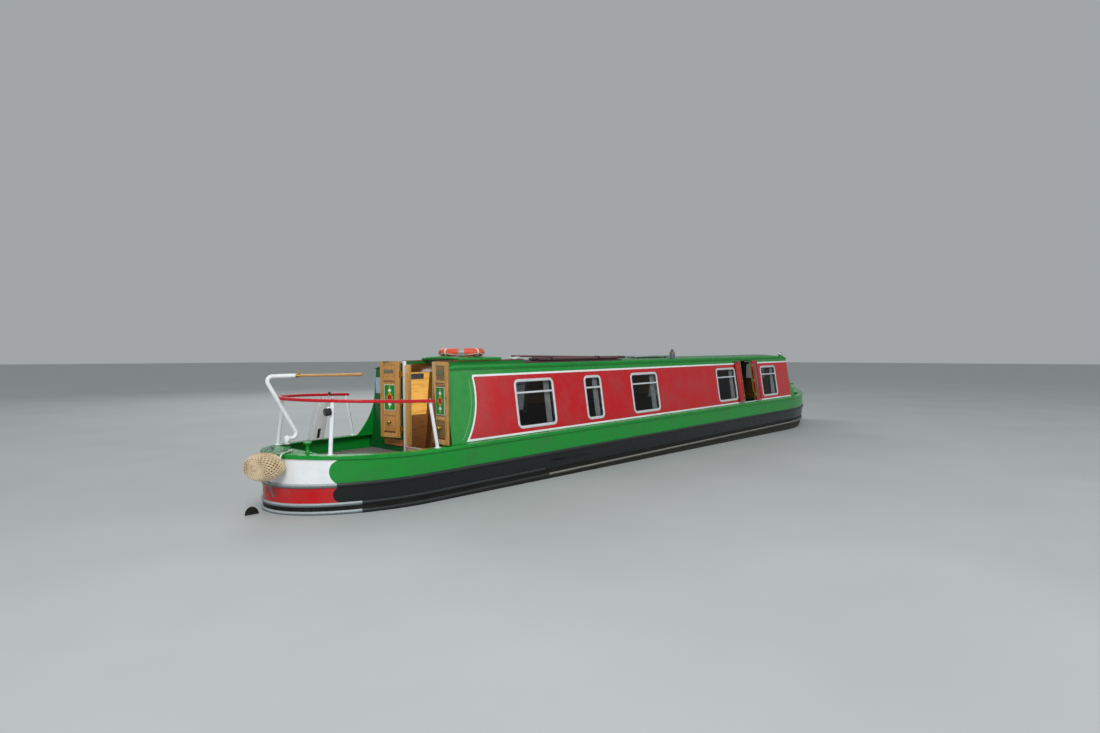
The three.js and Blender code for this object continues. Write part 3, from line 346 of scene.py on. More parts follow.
# the stern's two bands, each with a round nose: light aft of it, dark ahead
upper_band = enamel("upper_band_enamel", GREEN, zones=[(-PAINT_REACH, GREEN), (0.0, WHITE)])
lower_band = enamel("lower_band_enamel", RED, gloss=0.3, zones=[(-PAINT_REACH, BLACK), (0.0, RED)])
# Hull steel: blacking is dull tar, the rubbed bars show grey, black or dried mud, and galvanised
# fittings are a cold metallic grey; their upward faces are paler, partly with wear and partly as a painted
# highlight.
blacking = bitumen()
strake_steel = worn_and_lit_steel("worn_strake_steel_lit_top", "#687275", "#A9B1B3")
strake_black = worn_and_lit_steel("blacked_strake_steel", "#0F1214", "#262C2C")
strake_muddy = worn_and_lit_steel("muddy_strake_steel", "#3A3A36", "#86837A")
deck_steel = worn_and_lit_steel("galvanised_steel", "#7C8486", "#A4ACAE", metallic=0.7, roughness=0.4)
# Woods: varnished ones glow golden or red under a clear coat; boards left bare go grey and matt.
varnished_oak = timber("varnished_oak", "#D49A4E", "#9C662C", grain=(16, 16, 1))
pale_jamb = timber("pine_jamb", "#E3B066", "#B9823C", grain=(16, 16, 1))
# the starboard rear door's oak, darkened as painted shade
shaded_oak_panel = timber("oak_panel_painted_shade", "#8C6E38", "#6B5026", grain=(16, 16, 1))
sill_wood = timber("pink_primed_sill", "#D9A9A4", "#A8706C", grain=(16, 1, 16), varnish=0.0, roughness=0.6)
kick_oak = timber("red_oak_kick_board", "#C8743C", "#8C4420", grain=(16, 1, 16))
golden_lining = timber("golden_ply_lining", "#D9A24C", "#A8742E", grain=(1, 14, 14), ring_mm=22)
# brown wood for the coaming and partition, and painted shade on the lining's lower part
brown_wood_and_shade = timber("brown_ply_and_painted_shade", "#6E4420", "#4A2C16", grain=(1, 14, 14), varnish=0.2)
mahogany = timber("mahogany", "#7C3318", "#4C1D10")
floor_board = timber("weathered_floorboards", "#8E8A82", "#5F5C57", varnish=0.0, roughness=0.75)
plank_wood = timber("tarred_plank", "#4C3036", "#2C1C22", varnish=0.1, roughness=0.6)
pole_wood = timber("stained_ash_pole", "#5E3A38", "#38242A", varnish=0.3)
mop_handle = timber("painted_mop_handle", "#7C4A44", "#553230")
tiller_wood = timber("turned_ash", "#D9A45A", "#A46E30", grain=(1, 20, 20))
# Bare metals: bright, with fine scratches and duller tarnished spots.
aluminium = metal("brushed_aluminium", "#C9CED0", 0.3, "#8E9496")
brass = metal("polished_brass", "#D8B45C", 0.16, "#8A6A30")
bronze = metal("cast_bronze", "#A8763A", 0.34, "#4E5A44")
chrome = metal("chrome", "#DCE0E2", 0.08, "#9CA2A6")
bare_steel = metal("oiled_steel", "#6A5E54", 0.42, "#4E382C")
# Castings, sprayed sheet, plastic and rubber: even and soft-edged in the light, with no grain.
frame_metal = moulded("anodised_window_frame", "#DDE2E5", "#BCC3C7", roughness=0.35, metallic=0.3)
chimney_steel = moulded("chimney_enamel", "#55626C", "#353E46")
post_enamel = moulded("white_post_enamel", "#F4F7FA", "#DCE4EA", roughness=0.25, coat=0.4)
casing = moulded("moulded_casing", "#D5D8D8", "#BEC1BE", roughness=0.45)
black_rubber = moulded("black_rubber", "#17191B", "#26292B", roughness=0.6)
lifebuoy_skin = moulded("lifebuoy_polythene", "#E8593A", "#D4705A", roughness=0.45)
lifebuoy_band = moulded("reflective_band", "#9AA4A4", "#7F8988", roughness=0.35)
blank_plate = moulded("enamelled_plate", "#A9C6DE", "#98B4CC", roughness=0.35)
blank_label = moulded("etched_plate", "#8F927A", "#6E7060", metallic=0.6)
engine_paint = moulded("engine_paint", "#33483A", "#22302A", roughness=0.5)
lamp_glass = moulded("lamp_glass", "#D8DEE0", "#C4CCCE", roughness=0.1, coat=1.0)
dark_lens = moulded("dark_door_glass", "#1A2226", "#12181B", roughness=0.1, coat=0.6)
# Fibres: matt with a faint sheen, grimy in patches, and with painted shade between the strands.
fender_rope = fibre("coir_rope", "#E8D2AE", "#B89A70", 300)
# the core's dark brown is painted shade in the gaps between the fender's ropes
shaded_fender_core = fibre("coir_core_painted_shade", "#8A6C46", "#5E4830", 160)
white_rope = fibre("polyester_rope", "#E9E7E0", "#ACA79C", 420)
mop_cotton = fibre("mop_cotton", "#E6E8EA", "#A4A6A8", 300)
curtain_cloth = fibre("curtain_cotton", "#F2F6F8", "#C6D0D6", 700)
glass = window_glass()
cells = solar_glass()


# Shapes


class Shape:
    """Points and faces of a piece while it is being made, with the finish of each face."""

    def __init__(self, finish):
        self.points, self.faces, self.finishes = [], [], []
        self.main_finish = finish

    def add(self, made, finish=None, place=None):
        """Adds points and faces in one finish, or in a list of one for each face."""
        points, faces = made
        start = len(self.points)
        self.points += [place @ Vector(p) if place else Vector(p) for p in points]
        self.faces += [[start + i for i in face] for face in faces]
        if not isinstance(finish, list):
            finish = [self.main_finish if finish is None else finish] * len(faces)
        self.finishes += finish
        return self


def piece(name, shape, body="hull", stands_for=(), bevel=0.0, smooth=32, paint=None):
    """A finished piece of the boat: one mesh with its finishes, riding on its body."""
    finishes = list(dict.fromkeys([shape.main_finish, *shape.finishes]))  # bevels take the first
    shell = bmesh.new()
    points = [shell.verts.new(p) for p in shape.points]
    for face, finish in zip(shape.faces, shape.finishes):
        corners = [points[i] for i in dict.fromkeys(face)]
        if len(corners) > 2 and not shell.faces.get(corners):
            shell.faces.new(corners).material_index = finishes.index(finish)
    bmesh.ops.remove_doubles(shell, verts=shell.verts[:], dist=1e-5)
    bmesh.ops.delete(shell, geom=[v for v in shell.verts if not v.link_faces], context="VERTS")
    bmesh.ops.recalc_face_normals(shell, faces=shell.faces[:])
    if bevel:
        sharp = [e for e in shell.edges if e.calc_face_angle(0) > radians(40)]
        bmesh.ops.bevel(shell, geom=sharp, offset=bevel, segments=2, profile=0.5, affect="EDGES",
                        clamp_overlap=True)
    mesh = bpy.data.meshes.new(name)
    shell.to_mesh(mesh)
    shell.free()
    if paint:
        values = mesh.attributes.new("paint", "FLOAT", "POINT")
        values.data.foreach_set("value", [paint(v.co.x - BULKHEAD_X, v.co.z) for v in mesh.vertices])
    for finish in finishes:
        mesh.materials.append(finish)
    mesh.polygons.foreach_set("use_smooth", [True] * len(mesh.polygons))
    mesh.set_sharp_from_angle(angle=radians(smooth))
    made = stand(name, mesh)
    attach(made, body)
    if stands_for:
        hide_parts(*([stands_for] if isinstance(stands_for, str) else stands_for))
    return made


def loft(rows, around=True, along=False, caps=True):
    """Faces between rows of points; around closes each row, along joins the last to the first."""
    n, m = len(rows), len(rows[0])
    faces = []
    for i in range(n if along else n - 1):
        for j in range(m if around else m - 1):
            a, b, k = i * m, (i + 1) % n * m, (j + 1) % m
            faces.append((a + j, a + k, b + k, b + j))
    if around and caps and not along:
        faces += [tuple(range(m))[::-1], tuple(range((n - 1) * m, n * m))]
    return [p for row in rows for p in row], faces


def wall(outer, inner, skip=(), outside=None, inside=None):
    """A closed wall between two grids of points, less the skipped cells, and its faces' finishes:
    outside gives a cell's outer finish, and inside is that of its back and edges."""
    n, m = len(outer), len(outer[0])
    cells = [(i, j) for i in range(n - 1) for j in range(m - 1) if (i, j) not in skip]
    kept = set(cells)

    def corner(side, i, j):
        return side * n * m + i * m + j

    faces, finish = [], []
    for i, j in cells:
        loop = [(i, j), (i, j + 1), (i + 1, j + 1), (i + 1, j)]
        faces.append([corner(0, *c) for c in loop])
        faces.append([corner(1, *c) for c in reversed(loop)])
        finish += [outside(i, j) if outside else inside, inside]
        for k, cell in enumerate([(i - 1, j), (i, j + 1), (i + 1, j), (i, j - 1)]):
            if cell not in kept:
                a, b = loop[k], loop[(k + 1) % 4]
                faces.append([corner(0, *b), corner(0, *a), corner(1, *a), corner(1, *b)])
                finish.append(inside)
    points = [p for row in outer for p in row] + [p for row in inner for p in row]
    return (points, faces), finish if inside else None


def slab(outline, low, high):
    """A plate: the outline in plan, between two heights."""
    return loft([[(x, y, z) for x, y in outline] for z in (low, high)])


def tile(outline, x0, x1):
    """A flat plate standing across X: its outline is (y, z)."""
    return loft([[(x, y, z) for y, z in outline] for x in (x0, x1)])


def block(x0, x1, y0, y1, z0, z1):
    return slab([(x0, y0), (x1, y0), (x1, y1), (x0, y1)], z0, z1)


def rounded(x0, x1, y0, y1, r, steps=5):
    """The outline of a rectangle with round corners."""
    middles = ((x1 - r, y1 - r, 0), (x0 + r, y1 - r, 90), (x0 + r, y0 + r, 180), (x1 - r, y0 + r, 270))
    return [(x + r * cos(radians(a + 90 * k / steps)), y + r * sin(radians(a + 90 * k / steps)))
            for x, y, a in middles for k in range(steps + 1)]


def round_steps(n):
    """The angles of n equal steps round a circle."""
    return [2 * pi * k / n for k in range(n)]


def turned(profile, origin=(0, 0, 0), axis=(0, 0, 1), sides=40):
    """A turned shape, standing on its origin along an axis: profile of (radius, height) pairs."""
    place = Matrix.Translation(origin) @ Vector(axis).to_track_quat("Z", "Y").to_matrix().to_4x4()
    return loft([[place @ Vector((r * cos(a), r * sin(a), z)) for a in round_steps(sides)]
                 for r, z in profile], caps=False)


def smooth_line(points, steps=8):
    """A smooth curve through the points."""
    points = [Vector(p) for p in points]
    ends = [points[0] * 2 - points[1], *points, points[-1] * 2 - points[-2]]
    line = []
    for a, b, c, d in zip(ends, ends[1:], ends[2:], ends[3:]):
        for k in range(steps):
            t = k / steps
            line.append(0.5 * (2 * b + (c - a) * t + (2 * a - 5 * b + 4 * c - d) * t * t
                               + (3 * b - a - 3 * c + d) * t ** 3))
    return line + [points[-1]]


def filleted(points, radius, steps=6):
    """Straight runs joined by round bends of one radius, as in bent tube."""
    points = [Vector(p) for p in points]
    line = [points[0]]
    for a, b, c in zip(points, points[1:], points[2:]):
        u, v = (a - b).normalized(), (c - b).normalized()
        half = u.angle(v) / 2
        reach = radius / max(0.05, abs(sin(half) / cos(half)))
        centre = b + (u + v).normalized() * (radius / sin(half))
        p, q = b + u * reach - centre, b + v * reach - centre
        line += [centre + p.slerp(q, k / steps) * radius for k in range(steps + 1)]
    return line + [points[-1]]


def tube(path, radius, sides=16):
    """A round bar along a path; radius is a number or one for each point."""
    path = [Vector(p) for p in path]
    radii = radius if isinstance(radius, list) else [radius] * len(path)
    rows, side = [], None
    for i, p in enumerate(path):
        ahead = (path[min(i + 1, len(path) - 1)] - path[max(i - 1, 0)]).normalized()
        if side is None:
            side = ahead.cross(Vector((0, 0, 1) if abs(ahead.z) < 0.9 else (1, 0, 0))).normalized()
        side = (side - ahead * side.dot(ahead)).normalized()
        up = side.cross(ahead)
        rows.append([p + radii[i] * (cos(a) * side + sin(a) * up) for a in round_steps(sides)])
    return loft(rows)


# The hull's lines, as in the CAD but finer


def table(rows, x):
    """The value at x of a line through (x, value) pairs."""
    i = 1
    while i < len(rows) - 1 and x > rows[i][0]:
        i += 1
    (x0, y0), (x1, y1) = rows[i - 1], rows[i]
    return lerp(y0, y1, min(1, max(0, (x - x0) / (x1 - x0))))


def gunwale_z(station):
    """The gunwale's height, with its rise at the stern and towards the stem."""
    if station < -0.5:
        return GUNWALE_Z + 0.055 * ((-0.5 - station) / 1.43) ** 1.5
    if station > 11.4:
        return GUNWALE_Z + 0.105 * ((station - 11.4) / (STEM - 11.4)) ** 1.6
    return GUNWALE_Z


def plan_line(z, first=-9, last=99, stern=40, bow=40):
    """The hull's plan at a height, from the stern's middle to the stem along port: each point has
    its station, half-breadth and outward direction, with both ends cut to the given stations."""
    stem, middle = table(STEM_PROFILE, z), 10
    start = BOW_START - (STEM - stem) * 0.4
    power = lerp(1.12, 1.35, min(1, z / 0.95))
    line = [(STERN + STERN_RUN * (1 - cos(pi / 2 * i / stern)), HALF_BEAM * sin(pi / 2 * i / stern))
            for i in range(stern + 1)]
    line += [(lerp(STERN + STERN_RUN, start, i / middle), HALF_BEAM) for i in range(1, middle)]
    line += [(lerp(start, stem, i / bow), HALF_BEAM * cos(pi / 2 * (i / bow) ** power))
             for i in range(bow + 1)]
    full = []
    for i, (s, y) in enumerate(line):
        (s0, y0), (s1, y1) = line[max(0, i - 1)], line[min(len(line) - 1, i + 1)]
        length = hypot(s1 - s0, y1 - y0)
        full.append((s, y, -(y1 - y0) / length, (s1 - s0) / length) if i else (s, 0.0, -1.0, 0.0))
    cut = []
    for p, q in zip(full, full[1:] + [None]):
        if first <= p[0] <= last:
            cut.append(p)
        for limit in (first, last):
            if q and p[0] < limit < q[0]:
                t = (limit - p[0]) / (q[0] - p[0])
                cut.append(tuple(lerp(a, b, t) for a, b in zip(p, q)))
    return cut


def outward(p, w):
    """Station and half-breadth of a plan point moved outwards by w."""
    return p[0] + p[2] * w, max(0.0, p[1] + p[3] * w)


def both_sides(line):
    """Plan points round the whole boat from the stem along starboard, the stern and port, as
    (point, side); the stern's middle comes once."""
    return [(p, -1) for p in reversed(line[1:])] + [(p, 1) for p in line]


def side_y(z):
    """The cabin side's half-breadth: it leans in as it rises."""
    return CABIN_HALF - TUMBLE * (z - GUNWALE_Z)


def roof_z(y):
    """The cambered roof's height."""
    return ROOF_EDGE_Z + ROOF_RISE * (1 - (y / ROOF_HALF) ** 2)


def lay(side, inward, station, z):
    """A point on the leaning cabin side, or that far inside it."""
    return at(station), side * (side_y(z) - inward), z


def on_side(side, outline, w0, w1):
    """A plate on the cabin side between two depths: its outline is (station, z)."""
    return loft([[lay(side, w, s, z) for s, z in outline] for w in (w0, w1)])


def side_grids(side, stations, levels, w0, w1):
    """The two grids of points of a sheet on the cabin side."""
    return [[[lay(side, w, s, z) for s in stations] for z in levels] for w in (w0, w1)]


def in_openings(holes, stations, levels):
    """The cells of a side's grid that lie in its openings."""
    return {(i, j) for i in range(len(levels) - 1) for j in range(len(stations) - 1)
            for a, b, c, d in holes
            if a - TINY <= stations[j] and stations[j + 1] <= b + TINY
            and c - TINY <= levels[i] and levels[i + 1] <= d + TINY}


# Painted lines

PANEL_LOW, PANEL_HIGH, PANEL_MIDDLE_Z = 1.2745, 2.153, 1.92
PANEL_END_R = 1.05
PANEL_ENDS = (0.5396 - PANEL_END_R, 10.93 + PANEL_END_R)  # stations of the two hollow ends' centres


def nose(station, z, tip, middle, half, length):
    """How far a point lies aft of a band's round nose, whose tip points aft."""
    across = min(1.0, abs(z - middle) / half)
    return tip + length * (1 - sqrt(1 - across * across)) - station


def hull_paint(station, z):
    """How far a point of the stern lies aft of its band's nose."""
    if z > STRAKE_Z:
        return nose(station, z, -1.53, 1.108, 0.158, 0.13)
    return nose(station, z, -1.5, 0.842, 0.1, 0.1)


def panel_paint(station, z):
    """Depth inside the painted panel's edge: straight lines above and below, hollow ends."""
    ends = [hypot(station - end, z - PANEL_MIDDLE_Z) - (PANEL_END_R - 0.019) for end in PANEL_ENDS]
    return max(-0.19, min(z - PANEL_LOW, PANEL_HIGH - z, *ends))


# Hull


def make_hull():
    """The side plates, blacked below and banded at the stern, in one shell round the boat."""
    heights = [COUNTER_Z + 0.0003, 0.65, STERN_STRAKE_Z]
    heights += [lerp(STERN_STRAKE_Z, STRAKE_Z, k / 6) for k in range(1, 6)]
    heights += [STRAKE_Z + (1.2 - STRAKE_Z) * k / 8 for k in range(9)]
    heights.append(None)  # the underside of the gunwale

    def rows(levels, first, last, ring):
        outer, inner = [], []
        for z in levels:
            line = plan_line(SHEER_PLAN_Z if z is None or z > 1.19 else z, first, last)
            out, inn = [], []
            for p, side in both_sides(line) if ring else [(p, 1) for p in line]:
                h = gunwale_z(p[0]) - 0.0123 if z is None else z
                out.append((at(p[0]), side * p[1], h))
                s, y = outward(p, -PLATE)
                if p[1] < TINY:
                    s = p[0] + (PLATE if p[0] < 0 else -0.03)
                    y = 0.0
                inn.append((at(s), side * y, h))
            outer.append(out)
            inner.append(inn)
        return outer, inner

    def painted(levels):
        def finish(i, _):
            if levels[i] < STERN_STRAKE_Z - TINY:
                return blacking
            return lower_band if levels[i] < STRAKE_Z - TINY else upper_band
        return finish

    hull = Shape(green_enamel)
    hull.add(*wall(*rows(heights, -9, SWIM_START, True), outside=painted(heights), inside=green_enamel))
    # the forward part reaches down to the baseplate: both sides in one, joined at the stem
    heights = [BASE_T + 0.0003, 0.12, 0.24, 0.35, 0.45] + heights
    grids = rows(heights, SWIM_START, 99, False)
    for grid in grids:
        for row in grid:
            row += [(x, -y, z) for x, y, z in reversed(row[:-1])]
    hull.add(*wall(*grids, outside=painted(heights), inside=green_enamel))
    piece("hull_sides", hull, paint=hull_paint, stands_for=("hull_side_port", "hull_side_starboard"),
          smooth=40)


def round_the_hull(plan_z, section, last=99, tip=1.9, height=None):
    """A bar swept round the outside. section lists (outward, up) pairs; height gives the bar's own
    height at a station, if it isn't the plan's; tip stretches the section at the stem."""
    rows = []
    for p, side in both_sides(plan_line(plan_z, last=last)):
        z = height(p[0]) if height else plan_z
        row = []
        for out, up in section:
            s, y = outward(p, out)
            if p[1] < TINY and p[0] > 0:
                s, y = p[0] + out * tip, 0.0
            row.append((at(s), side * y, z + up))
        rows.append(row)
    closed = last > STEM
    return loft(rows[:-1] if closed else rows, along=closed)


def make_strakes():
    """Half-round bars along the sides: grey round the stern, black ahead, muddy low down."""
    for name, z, tall, last, black_from, mud_from in (
        ("strake_top", STRAKE_Z, 0.05, 99, -1.45, 99),
        ("strake_waterline", LOW_STRAKE_Z, 0.044, 99, -1.2, 2.0),
        ("strake_stern", STERN_STRAKE_Z, 0.044, 1.7, -1.2, 99),
    ):
        bulge = [(0.006 + 0.0135 * cos(radians(d)), tall / 2 * sin(radians(d))) for d in range(-90, 91, 20)]
        points, faces = round_the_hull(z, [(-0.003, -tall / 2), *bulge, (-0.003, tall / 2)], last)
        coats = []
        for face in faces:
            x = sum(points[i][0] for i in face) / len(face)
            coats.append(strake_steel if x <= at(black_from) else
                         strake_black if x < at(mud_from) else strake_muddy)
        piece(name + "_bar", Shape(strake_steel).add((points, faces), coats), stands_for=name,
              smooth=50)


def make_gunwale():
    """The margin plate with its rounded lip, from the stern right round to the stem."""
    w, t = GUNWALE_W, GUNWALE_T
    section = [(LIP_OUT - 0.004, -LIP_H), (LIP_OUT, -LIP_H + 0.004), (LIP_OUT, -0.014),
               (LIP_OUT - 0.002, -0.006), (LIP_OUT - 0.008, -0.001), (LIP_OUT - 0.014, 0.0),
               (-w, 0.0), (-w, -t), (-0.003, -t), (-0.003, -LIP_H)]
    band = Shape(green_enamel).add(round_the_hull(SHEER_PLAN_Z, section, tip=1.0, height=gunwale_z))
    names = [f"gunwale_{name}{part}" for name, _ in SIDES for part in ("_aft", "", "_fore")]
    piece("gunwale_band", band, stands_for=names, smooth=40)


def deck_rows(line):
    """Rows of points across a deck that fits inside the gunwale, with each row's station."""
    rows = []
    for p in line:
        s, y = outward(p, -GUNWALE_W + 0.004)
        rows.append((s, p[1], [(at(s), t * max(y, 0.002), gunwale_z(p[0]) - 0.0015) for t in ACROSS]))
    return rows


def deck_plate(rows, skip=()):
    """A 9 mm plate below rows of points."""
    return wall(rows, [[(x, y, z - 0.009) for x, y, z in row] for row in rows], skip=skip)


def make_aft_deck():
    """The aft deck inside the stern's gunwale, its front edge turned down to the cockpit floor."""
    line = deck_rows(plan_line(SHEER_PLAN_Z, -9, AFT_DECK + 0.1, stern=60))
    rows = [row for s, _, row in line if s <= AFT_DECK]
    rows.append([(at(AFT_DECK), t * 0.5125, gunwale_z(AFT_DECK) + 0.0045) for t in ACROSS])
    deck = Shape(green_enamel).add(*deck_plate(rows))
    front = at(AFT_DECK)
    deck.add(block(front - 0.01, front, -0.636, 0.636, FLOOR_Z - 0.028, 1.288))
    deck.add(block(front - 0.0095, front - 0.0005, -0.49, 0.49, 1.28, 1.299))
    # collar where the rudder stock comes up
    deck.add(turned([(0.034, -0.03), (0.062, -0.03), (0.062, 0.006), (0.056, 0.012), (0.04, 0.014),
                     (0.034, 0.05), (0.027, 0.052), (0.027, -0.03), (0.034, -0.03)],
                    (at(RUDDER_STOCK), 0, 1.307)))
    piece("aft_deck_plate", deck, stands_for="aft_deck")
    dolly = Shape(green_enamel).add(turned(
        [(0, 0), (0.055, 0), (0.055, 0.01), (0.05, 0.013), (0.031, 0.02), (0.023, 0.032), (0.02, 0.05),
         (0.019, 0.066), (0.02, 0.086), (0.024, 0.101), (0.033, 0.11), (0.046, 0.116), (0.048, 0.122),
         (0.048, 0.132), (0.044, 0.138), (0.036, 0.14), (0, 0.14)], (at(-1.63), -0.38, 1.302)))
    piece("mooring_dolly", dolly)


def make_bow_deck():
    """A cambered plate from the well to the stem, with its bulkhead, the locker's hole and a T-stud."""
    line = deck_rows(plan_line(SHEER_PLAN_Z, WELL_FORE, 99, bow=60))
    rows = [row for s, half, row in line if half >= 0.13 and s >= WELL_FORE]
    half = rows[0][-1][1] + 0.006
    rows.insert(0, [(at(WELL_FORE), t * half, gunwale_z(WELL_FORE) - 0.0015) for t in ACROSS])
    hole = {(i, j) for i in range(len(rows) - 1) for j in range(len(ACROSS) - 1)
            if rows[i][0][0] > at(12.45) and rows[i + 1][0][0] < at(12.85)
            and abs(rows[i][j][1]) < 0.2 and abs(rows[i][j + 1][1]) < 0.2}
    bow = Shape(green_enamel).add(*deck_plate(rows, skip=hole))
    bow.add(block(at(WELL_FORE), at(WELL_FORE) + 0.008, -0.715, 0.715, 0.885, 1.28))
    stud, z = at(13.08), gunwale_z(13.106)
    bow.add(turned([(0, -0.006), (0.036, -0.006), (0.036, 0.004), (0.026, 0.01), (0.0235, 0.03),
                    (0.0235, 0.1), (0, 0.1)], (stud, 0, z)))
    bow.add(turned([(0, -0.09), (0.016, -0.09), (0.0195, -0.086), (0.02, -0.08), (0.02, 0.08),
                    (0.0195, 0.086), (0.016, 0.09), (0, 0.09)], (stud, 0, z + 0.111), (0, 1, 0)))
    piece("bow_deck_plate", bow, stands_for="bow_deck")


def make_locker_lid():
    """The bow locker's lid, with two hinge barrels and a bent handle."""
    outline = rounded(12.422, 12.878, -0.228, 0.228, 0.025)
    lid = Shape(green_enamel).add(loft([[(at(s), y, gunwale_z(s) + h) for s, y in outline]
                                        for h in (0.0005, 0.0115)]))
    for y in (-0.15, 0.15):
        lid.add(tube([(at(12.872), y + dy, gunwale_z(12.88) + 0.004) for dy in (-0.035, 0.035)], 0.0065),
                deck_steel)
    handle = [(at(12.47), y, gunwale_z(12.47) + h) for y, h in
              ((-0.06, 0.006), (-0.06, 0.03), (0.06, 0.03), (0.06, 0.006))]
    lid.add(tube(filleted(handle, 0.012), 0.006, 10), deck_steel)
    piece("locker_lid_plate", lid, body="locker_lid_body", bevel=0.0015, stands_for="locker_lid")


def make_cockpit_floor():
    """Boards laid fore and aft on a base sheet."""
    boards = Shape(floor_board)
    fore, step, gap = CABIN_AFT - 0.002, 0.136, 0.002
    for k in range(-8, 8):
        y0, y1 = k * step + gap, (k + 1) * step - gap
        ends = []
        for y in (y0, y1):
            reach = min(1.0, (abs(y) + 0.03) / HALF_BEAM)
            ends.append(max(AFT_DECK + 0.003, STERN + STERN_RUN * (1 - sqrt(1 - reach * reach))))
        if max(abs(y0), abs(y1)) < 0.995:
            boards.add(slab([(at(ends[0]), y0), (at(fore), y0), (at(fore), y1), (at(ends[1]), y1)],
                            FLOOR_Z - 0.02, FLOOR_Z))
    base = [(at(min(s, fore)), y) for s, y in
            (outward(p, -0.014) for p in plan_line(FLOOR_Z, AFT_DECK, fore)) if s > AFT_DECK]
    base = [(at(AFT_DECK) + 0.002, base[0][1])] + base
    boards.add(slab(base + [(x, -y) for x, y in reversed(base)], FLOOR_Z - 0.03, FLOOR_Z - 0.021))
    piece("cockpit_floorboards", boards, bevel=0.0015, stands_for="cockpit_floor")


# Cabin


def make_cabin_sides():
    """Leaning steel sides with their openings, the swept wings at each end, and the hatch hinges."""
    z0, z1 = GUNWALE_Z + 0.0003, ROOF_EDGE_Z - 0.01
    rim = 0.006
    holes = [(a + rim, b - rim, WINDOW_Z[0] + rim, WINDOW_Z[1] - rim) for a, b in WINDOWS]
    holes.append((*HATCH, *HATCH_Z))
    # fine cells where the painted ends and lines run
    stations = {CABIN_AFT, CABIN_FRONT, *(v for h in holes for v in h[:2])}
    stations |= {0.25 + 0.0125 * k for k in range(30)} | {10.84 - 0.0125 * k for k in range(36)}
    stations |= {0.7 + 0.12 * k for k in range(81)}
    stations = sorted(stations)
    stations = [s for i, s in enumerate(stations)
                if i == 0 or s - stations[i - 1] > 0.0006 or s == CABIN_FRONT]
    levels = sorted({z0, z1, *(v for h in holes for v in h[2:]), PANEL_LOW, 1.3125, 2.115, PANEL_HIGH,
                     *(1.33 + 0.035 * k for k in range(23))})
    skip = in_openings(holes, stations, levels)
    for name, side in SIDES:
        skin = Shape(green_enamel)
        skin.add(*wall(*side_grids(side, stations, levels, 0.0, SIDE_T), skip=skip,
                       outside=lambda i, j: panel_enamel, inside=green_enamel))
        sweeps = [(CABIN_FRONT, 0.28, 0.62)] + ([(CABIN_AFT, -0.245, 0.56)] if side > 0 else [])
        for start, reach, tall in sweeps:
            grids = [[[lay(side, w, start + k / 6 * reach * (1 - i / 16) ** 2, z0 + tall * i / 16)
                       for k in range(7)] for i in range(17)] for w in (0.0, SIDE_T)]
            skin.add(*wall(*grids))
        for hinge, way in ((HATCH[0], -1), (HATCH[1], 1)):
            for z in STRAP_Z:
                skin.add(tube([lay(side, -0.007, hinge, h) for h in (z, z + 0.06)], 0.0065, 14), brass)
                plate = [(hinge, z), (hinge + way * 0.006, z), (hinge + way * 0.006, z + 0.06),
                         (hinge, z + 0.06)]
                skin.add(on_side(side, plate, -0.007, 0.002), brass)
        piece(f"cabin_side_{name}_skin", skin, paint=panel_paint, stands_for=f"cabin_side_{name}")
        # thin pale coach line round the panel's aft end
        line = [(PANEL_ENDS[0] + sqrt(0.966 ** 2 - (z - PANEL_MIDDLE_Z) ** 2), z)
                for z in (1.3 + 0.8 * k / 24 for k in range(25))]
        grids = [[[lay(side, w, s + u, z) for u in (-0.003, 0.003)] for s, z in line]
                 for w in (-0.0006, 0.001)]
        piece(f"coach_line_{name}", Shape(pale_green).add(*wall(*grids)))
        make_lining(name, side)


def make_lining(name, side):
    """Ply lining inside the cabin, golden above, and brown below a line as painted shade."""
    inset, shade_line_z = 0.02, 1.49
    holes = [(a + inset, b - inset, WINDOW_Z[0] + inset, WINDOW_Z[1] - inset) for a, b in WINDOWS]
    holes.append((*HATCH, *HATCH_Z))
    stations = sorted({CABIN_AFT + 0.025, 1.04, CABIN_FRONT - 0.025, *(v for h in holes for v in h[:2])})
    levels = sorted({0.68, 1.26, shade_line_z, 2.215, *(v for h in holes for v in h[2:])})
    (points, faces), _ = wall(*side_grids(side, stations, levels, 0.022, 0.03),
                              skip=in_openings(holes, stations, levels))
    # below this line the lining takes the brown of painted shade
    finish = [brown_wood_and_shade if max(points[i][2] for i in face) <= shade_line_z + TINY else golden_lining
              for face in faces]
    lining = Shape(brown_wood_and_shade).add((points, faces), finish)
    if side > 0:
        # a shelf recess backed by a black sheet as painted shade, the dark partition ahead of the golden
        # board, and a dark low board of painted shade
        for s0, s1, low, high, w0, w1, wood in ((0.61, 0.89, 2.045, 2.13, 0.0305, 0.034, black_rubber),
                                                (1.0, 1.03, 0.69, 2.2, 0.031, 0.2, brown_wood_and_shade),
                                                (0.3, 0.99, 0.69, 1.488, 0.031, 0.09, brown_wood_and_shade)):
            outline = [(s0, low), (s1, low), (s1, high), (s0, high)]
            lining.add(on_side(side, outline, w0, w1), wood)
    piece(f"cabin_lining_{name}", lining)


